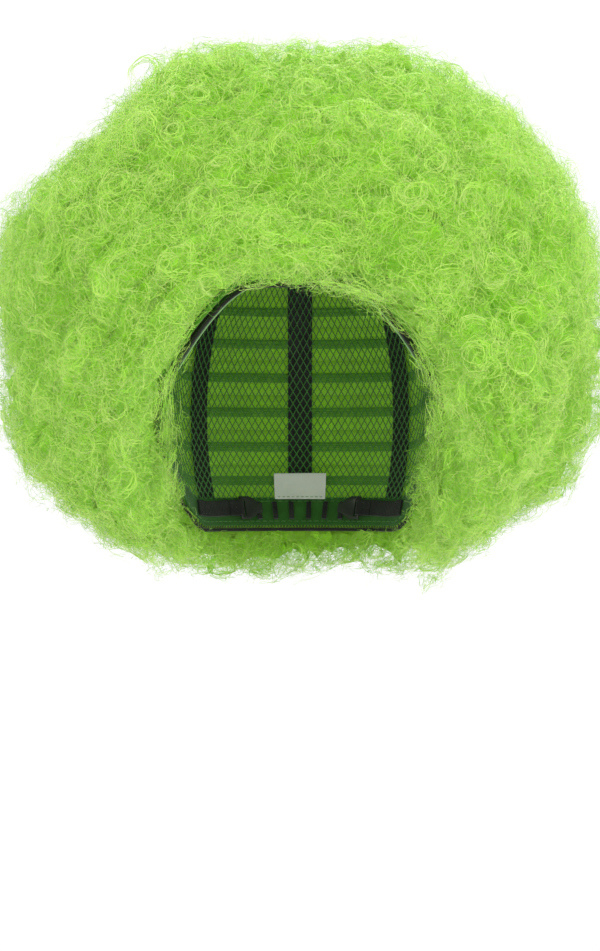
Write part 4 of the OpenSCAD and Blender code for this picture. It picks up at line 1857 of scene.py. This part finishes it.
@dataclass
class HairRow:
    """One row of hair, or the crown's hair: an undercoat and the strands that stand on it.

    Shares run from 0 at the hair's lowest edge to 1 at the top. A fringe or a firm share is how much
    of its way into the opening for the face a point keeps.
    """

    name: str
    node: str
    low: float
    high: float
    seed: int
    lumps: Lumps
    columns: int = 180
    inner_off: float = 0.0051
    edge_flare: float = 0.0025
    recess: float = 0.0075
    wall_recess: float = 0.035
    roughness: float = 0.0022
    wall_roughness: float = 0.0018
    wall_start: float = 0.2
    firm: float = 0.05
    edge_share: float = 0.80
    fringe: tuple[float, float] = (0.05, 0.75)

    @property
    def is_edge(self) -> bool:
        """Whether the row is the lowest one, whose edge frames the face and neck."""
        return self.low == 0

    @property
    def is_crown(self) -> bool:
        """Whether the row closes the top."""
        return self.high == 1

    def undercoat(self) -> tuple[Array, Array, Array]:
        """Works out the closed ring of dense hair under the curls.

        Returns:
            Points, quads and the bake map of each quad's corners.
        """
        azimuth = np.linspace(0, 360, self.columns, endpoint=False)[:, None]
        low = self.low + (self.wall_recess if self.is_edge else 0.0)
        shares = np.linspace(low, self.high, 9 if self.is_crown else 6)[None, :]
        flare = self.edge_flare * (shares < self.wall_recess + 0.01)
        inner = HEAD.cap_point(azimuth, shares, self.inner_off + flare)
        outer = HEAD.hair_point(azimuth, shares)
        rough = np.random.default_rng(self.seed).normal(size=outer.shape[:2])
        rough = rough + np.roll(rough, 1, 0)
        depth = self.recess - self.lumps.height(outer) + self.roughness * rough / 1.4
        if self.is_crown:
            depth[:, -1] = depth[:, -1].mean()
        outer = outer - HEAD.hair_normal(outer) * depth[..., None]
        steps = np.linspace(0, 1, 8)[1:-1]
        wall = inner[:, :1] + (outer[:, :1] - inner[:, :1]) * steps[None, :, None]
        if self.is_edge:
            rough_wall = np.random.default_rng(self.seed + 1).normal(size=wall.shape)
            wall = wall + rough_wall * self.wall_roughness
        top = (outer[:, -1:] + inner[:, -1:]) / 2
        outer, wall = HEAD.clear_of_face(outer, self.firm), HEAD.clear_of_face(wall, self.firm)
        profile = np.concatenate([inner[:, ::-1], wall, outer, top], axis=1)
        places, around = profile.shape[:2]
        maps = ring_map(places, around, CORE_LOW, CORE_SPAN)
        return profile.reshape(-1, 3), ring_quads(places, around), maps.reshape(-1, 2)

    def cells(self) -> tuple[Array, Array, Array]:
        """Works out places for roots on the row's outer face and, at the edge, on its wall.

        Returns:
            Points, outward directions and areas of many small cells.
        """
        azimuth = np.linspace(0, 360, 361)[:, None]
        shares = np.linspace(self.low, min(self.high, 0.999), 13)[None, :]
        faces = [HEAD.hair_point(azimuth, shares)]
        if self.is_edge:
            reach = np.linspace(self.wall_start, 1, 13)[None, :, None]
            inner = HEAD.cap_point(azimuth, 0.0 * azimuth, self.inner_off + self.edge_flare)
            faces.append(inner + (HEAD.hair_point(azimuth, 0.0 * azimuth) - inner) * reach)
        points, normals, areas = [], [], []
        for number, grid in enumerate(faces):
            along, across = grid[1:, :-1] - grid[:-1, :-1], grid[:-1, 1:] - grid[:-1, :-1]
            square = np.cross(along, across)
            size = np.linalg.norm(square, axis=-1)
            middle = (grid[1:, 1:] + grid[:-1, :-1]) / 2
            points.append(middle.reshape(-1, 3))
            areas.append(size.ravel())
            outward = HEAD.hair_normal(middle) if number == 0 else unit(-square)
            normals.append(outward.reshape(-1, 3))
        points_all, normals_all, areas_all = map(np.concatenate, (points, normals, areas))
        return points_all, normals_all, areas_all

    def grow(self, strands: Strands, kind: Curl, draw: np.random.Generator) -> None:
        """Grows strands of one kind over the row.

        Args:
            strands: Where the strands are collected.
            kind: How they grow.
            draw: Source of the random draws.
        """
        points, normals, areas = self.cells()
        share = self.edge_share if self.is_edge else 1.0
        clumps = round(areas.sum() * kind.density * share / kind.strands)
        chosen = draw.choice(len(points), size=clumps, p=areas / areas.sum())
        normal = normals[chosen]
        base = points[chosen] + draw.normal(size=(clumps, 3)) * SPREAD.root
        base += normal * self.lumps.height(base)[:, None]
        first = unit(np.cross(normal, unit(draw.normal(size=(clumps, 3)))))
        second = np.cross(normal, first)
        lean = draw.normal(size=(clumps, 2)) * kind.tilt * SPREAD.lean
        axis = unit(normal + lean[:, :1] * first + lean[:, 1:] * second - np.array([0, 0, SPREAD.droop]))
        east = unit(np.cross(axis, first))
        north = np.cross(axis, east)
        start = draw.uniform(0, 2 * math.pi, clumps)
        turns = draw.uniform(*kind.turns, clumps) * draw.choice([-1, 1], clumps)
        radius = draw.uniform(*kind.radius, clumps)
        depth = draw.uniform(*kind.depth, clumps)
        rise = draw.uniform(*kind.rise, clumps)
        shade = draw.uniform(0, SHADE_BINS, clumps)
        total = clumps * kind.strands
        of = np.repeat(np.arange(clumps), kind.strands)
        t = np.linspace(0, 1, kind.points)[None, :]
        jitter = draw.normal(size=(total, 5))
        loose = kind.strands > 1
        first_phase = start[of] + SPREAD.start * jitter[:, 0] * loose
        whole_turns = turns[of] * (1 + SPREAD.turns * jitter[:, 1] * loose)
        phase = first_phase[:, None] + 2 * math.pi * whole_turns[:, None] * t
        least, growth = SPREAD.widening
        wide = (radius[of] * (1 + SPREAD.radius * jitter[:, 2] * loose))[:, None] * (least + growth * t)
        risen = rise[of] + SPREAD.rise * jitter[:, 3] * loose
        axial = -(depth[of])[:, None] * (1 - t) ** SPREAD.sinking + risen[:, None] * t
        offset = draw.normal(size=(total, 3)) * kind.bundle
        wobble = np.zeros((total, kind.points, 3))
        for cycles in SPREAD.cycles:
            swing = draw.normal(size=(total, 1, 3)) * kind.frizz / math.sqrt(cycles)
            shift = draw.uniform(0, SPREAD.phases, (total, 1))
            wobble += swing * np.sin(2 * math.pi * cycles * t + shift)[..., None]
        paths = (
            base[of][:, None, :]
            + offset[:, None, :]
            + axial[..., None] * axis[of][:, None, :]
            + (wide * np.cos(phase))[..., None] * east[of][:, None, :]
            + (wide * np.sin(phase))[..., None] * north[of][:, None, :]
            + wobble
        )
        paths = self.held_in(paths, kind.proud, draw.uniform(*self.fringe, (total, 1)))
        thickness = kind.thickness * draw.uniform(*SPREAD.thickness, total)
        shades = np.mod(np.floor(shade[of] + SPREAD.shade * jitter[:, 4]), SHADE_BINS)
        turned, turning = SPREAD.twist
        twist = draw.normal(size=(total, 1)) * turned + draw.normal(size=(total, 1)) * turning * t
        strands.add(paths, normal[of], thickness, shades, twist)

    def held_in(self, paths: Array, proud: float, soft: Array) -> Array:
        """Lays strands back that stand too far out of the hair's lumpy outer form.

        Args:
            paths: Points of the strands.
            proud: How far a strand may stand out, in metres.
            soft: Share of its way into the opening for the face that each strand keeps.

        Returns:
            The points, moved in where they stood too far out.
        """
        over = HEAD.hair_height(paths) - self.lumps.height(paths)
        held = np.where(over > 0, proud * np.tanh(over / proud), over)
        out = unit(paths - np.array(HEAD.hair_middle))
        return HEAD.clear_of_face(paths + out * (held - over)[..., None], soft)

    def build(self, fibre: bpy.types.Material, undercoat: bpy.types.Material) -> bpy.types.Object:
        """Builds the row as one piece.

        Args:
            fibre: Material of the strands.
            undercoat: Material of the undercoat.

        Returns:
            The finished piece, riding on the cap.
        """
        draw = np.random.default_rng(self.seed)
        strands = Strands()
        for kind in CurlKind:
            self.grow(strands, kind.value, draw)
        core, core_quads, core_map = self.undercoat()
        quads = np.concatenate([*strands.quads, core_quads + strands.count])
        piece = mesh_piece(self.name, np.concatenate([*strands.points, core]), quads)
        maps = np.concatenate([*strands.quad_map, core_map]).astype(np.float32)
        piece.data.uv_layers.new(name="OFBake").data.foreach_set("uv", maps.ravel())
        piece.data.materials.append(fibre)
        piece.data.materials.append(undercoat)
        kinds = np.zeros(len(quads), np.int32)
        kinds[-len(core_quads):] = 1
        piece.data.polygons.foreach_set("material_index", kinds)
        if self.is_crown:
            with whole_mesh_open(piece):
                bpy.ops.mesh.remove_doubles(threshold=POLE_REACH)
        return settle(piece, self.node)


@dataclass
class Hair:
    """All the hair of the wig."""

    seed: int = 400
    fibre: FibreFinish = FibreFinish()
    undercoat: UndercoatFinish = UndercoatFinish()

    def build(self) -> None:
        """Builds every row and the crown's hair."""
        lumps = Lumps()
        fibre, undercoat = self.fibre.material(), self.undercoat.material()
        for k in range(1, ROWS + 1):
            row = HairRow(f"hair_row_{k:02d}", f"weft_hair_{k:02d}", CROWN_SHARE * (k - 1) / ROWS,
                          CROWN_SHARE * k / ROWS, self.seed + 10 * k, lumps)
            row.build(fibre, undercoat)
        crown = HairRow("hair_crown", "crown_hair", CROWN_SHARE, 1, self.seed, lumps)
        crown.build(fibre, undercoat)


# ---- Studio ----


@dataclass(frozen=True)
class SoftLight:
    """A square light that faces the middle of the hair. Lengths in metres, power in watts."""

    name: str
    place: tuple[float, float, float]
    size: float
    power: float
    faces: tuple[float, float, float] = (0.0, 0.0, 0.05)

    def build(self) -> None:
        """Builds the light."""
        lamp = bpy.data.lights.new(self.name, "AREA")
        lamp.shape, lamp.size, lamp.energy = "SQUARE", self.size, self.power
        shown = bpy.data.objects.new(self.name, lamp)
        bpy.context.scene.collection.objects.link(shown)
        shown.location = self.place
        aim = Vector(self.faces) - Vector(self.place)
        shown.rotation_euler = aim.to_track_quat("-Z", "Y").to_euler()


@dataclass
class Studio:
    """White surroundings, soft lights and the camera."""

    lens: float = 135.0
    sensor: float = 36.0
    far_end: float = 50.0
    eye: tuple[float, float, float] = (0.0, -1.874, -0.0326)
    world: float = 1.03
    lights: tuple[SoftLight, ...] = (
        SoftLight("key_light", (-1.1, -1.6, 1.3), size=1.1, power=9.0),
        SoftLight("fill_light", (1.4, -1.3, 0.5), size=1.2, power=11.0),
        SoftLight("back_light", (0.3, 1.1, 1.5), size=1.0, power=30.0),
    )

    def build(self) -> None:
        """Builds the studio and sets the scene's camera."""
        scene = bpy.context.scene
        camera = bpy.data.cameras.new("studio_camera")
        camera.lens, camera.sensor_width, camera.clip_end = self.lens, self.sensor, self.far_end
        shown = bpy.data.objects.new("studio_camera", camera)
        scene.collection.objects.link(shown)
        shown.location, shown.rotation_euler = self.eye, (math.radians(90), 0, 0)
        scene.camera = shown
        scene.view_settings.view_transform = "Standard"
        scene.world = bpy.data.worlds.new("studio_world")
        scene.world.use_nodes = True
        background = scene.world.node_tree.nodes["Background"]
        background.inputs[0].default_value = (1, 1, 1, 1)
        background.inputs[1].default_value = self.world
        for light in self.lights:
            light.build()


def main() -> None:
    """Builds the wig and its studio."""
    logging.basicConfig(level=logging.INFO, format="%(name)s: %(message)s")
    Studio().build()
    FoundationCap().build()
    WeftTracks().build()
    for side in Side:
        Adjuster(side).build()
    Hair().build()


if __name__ == "__main__":
    main()
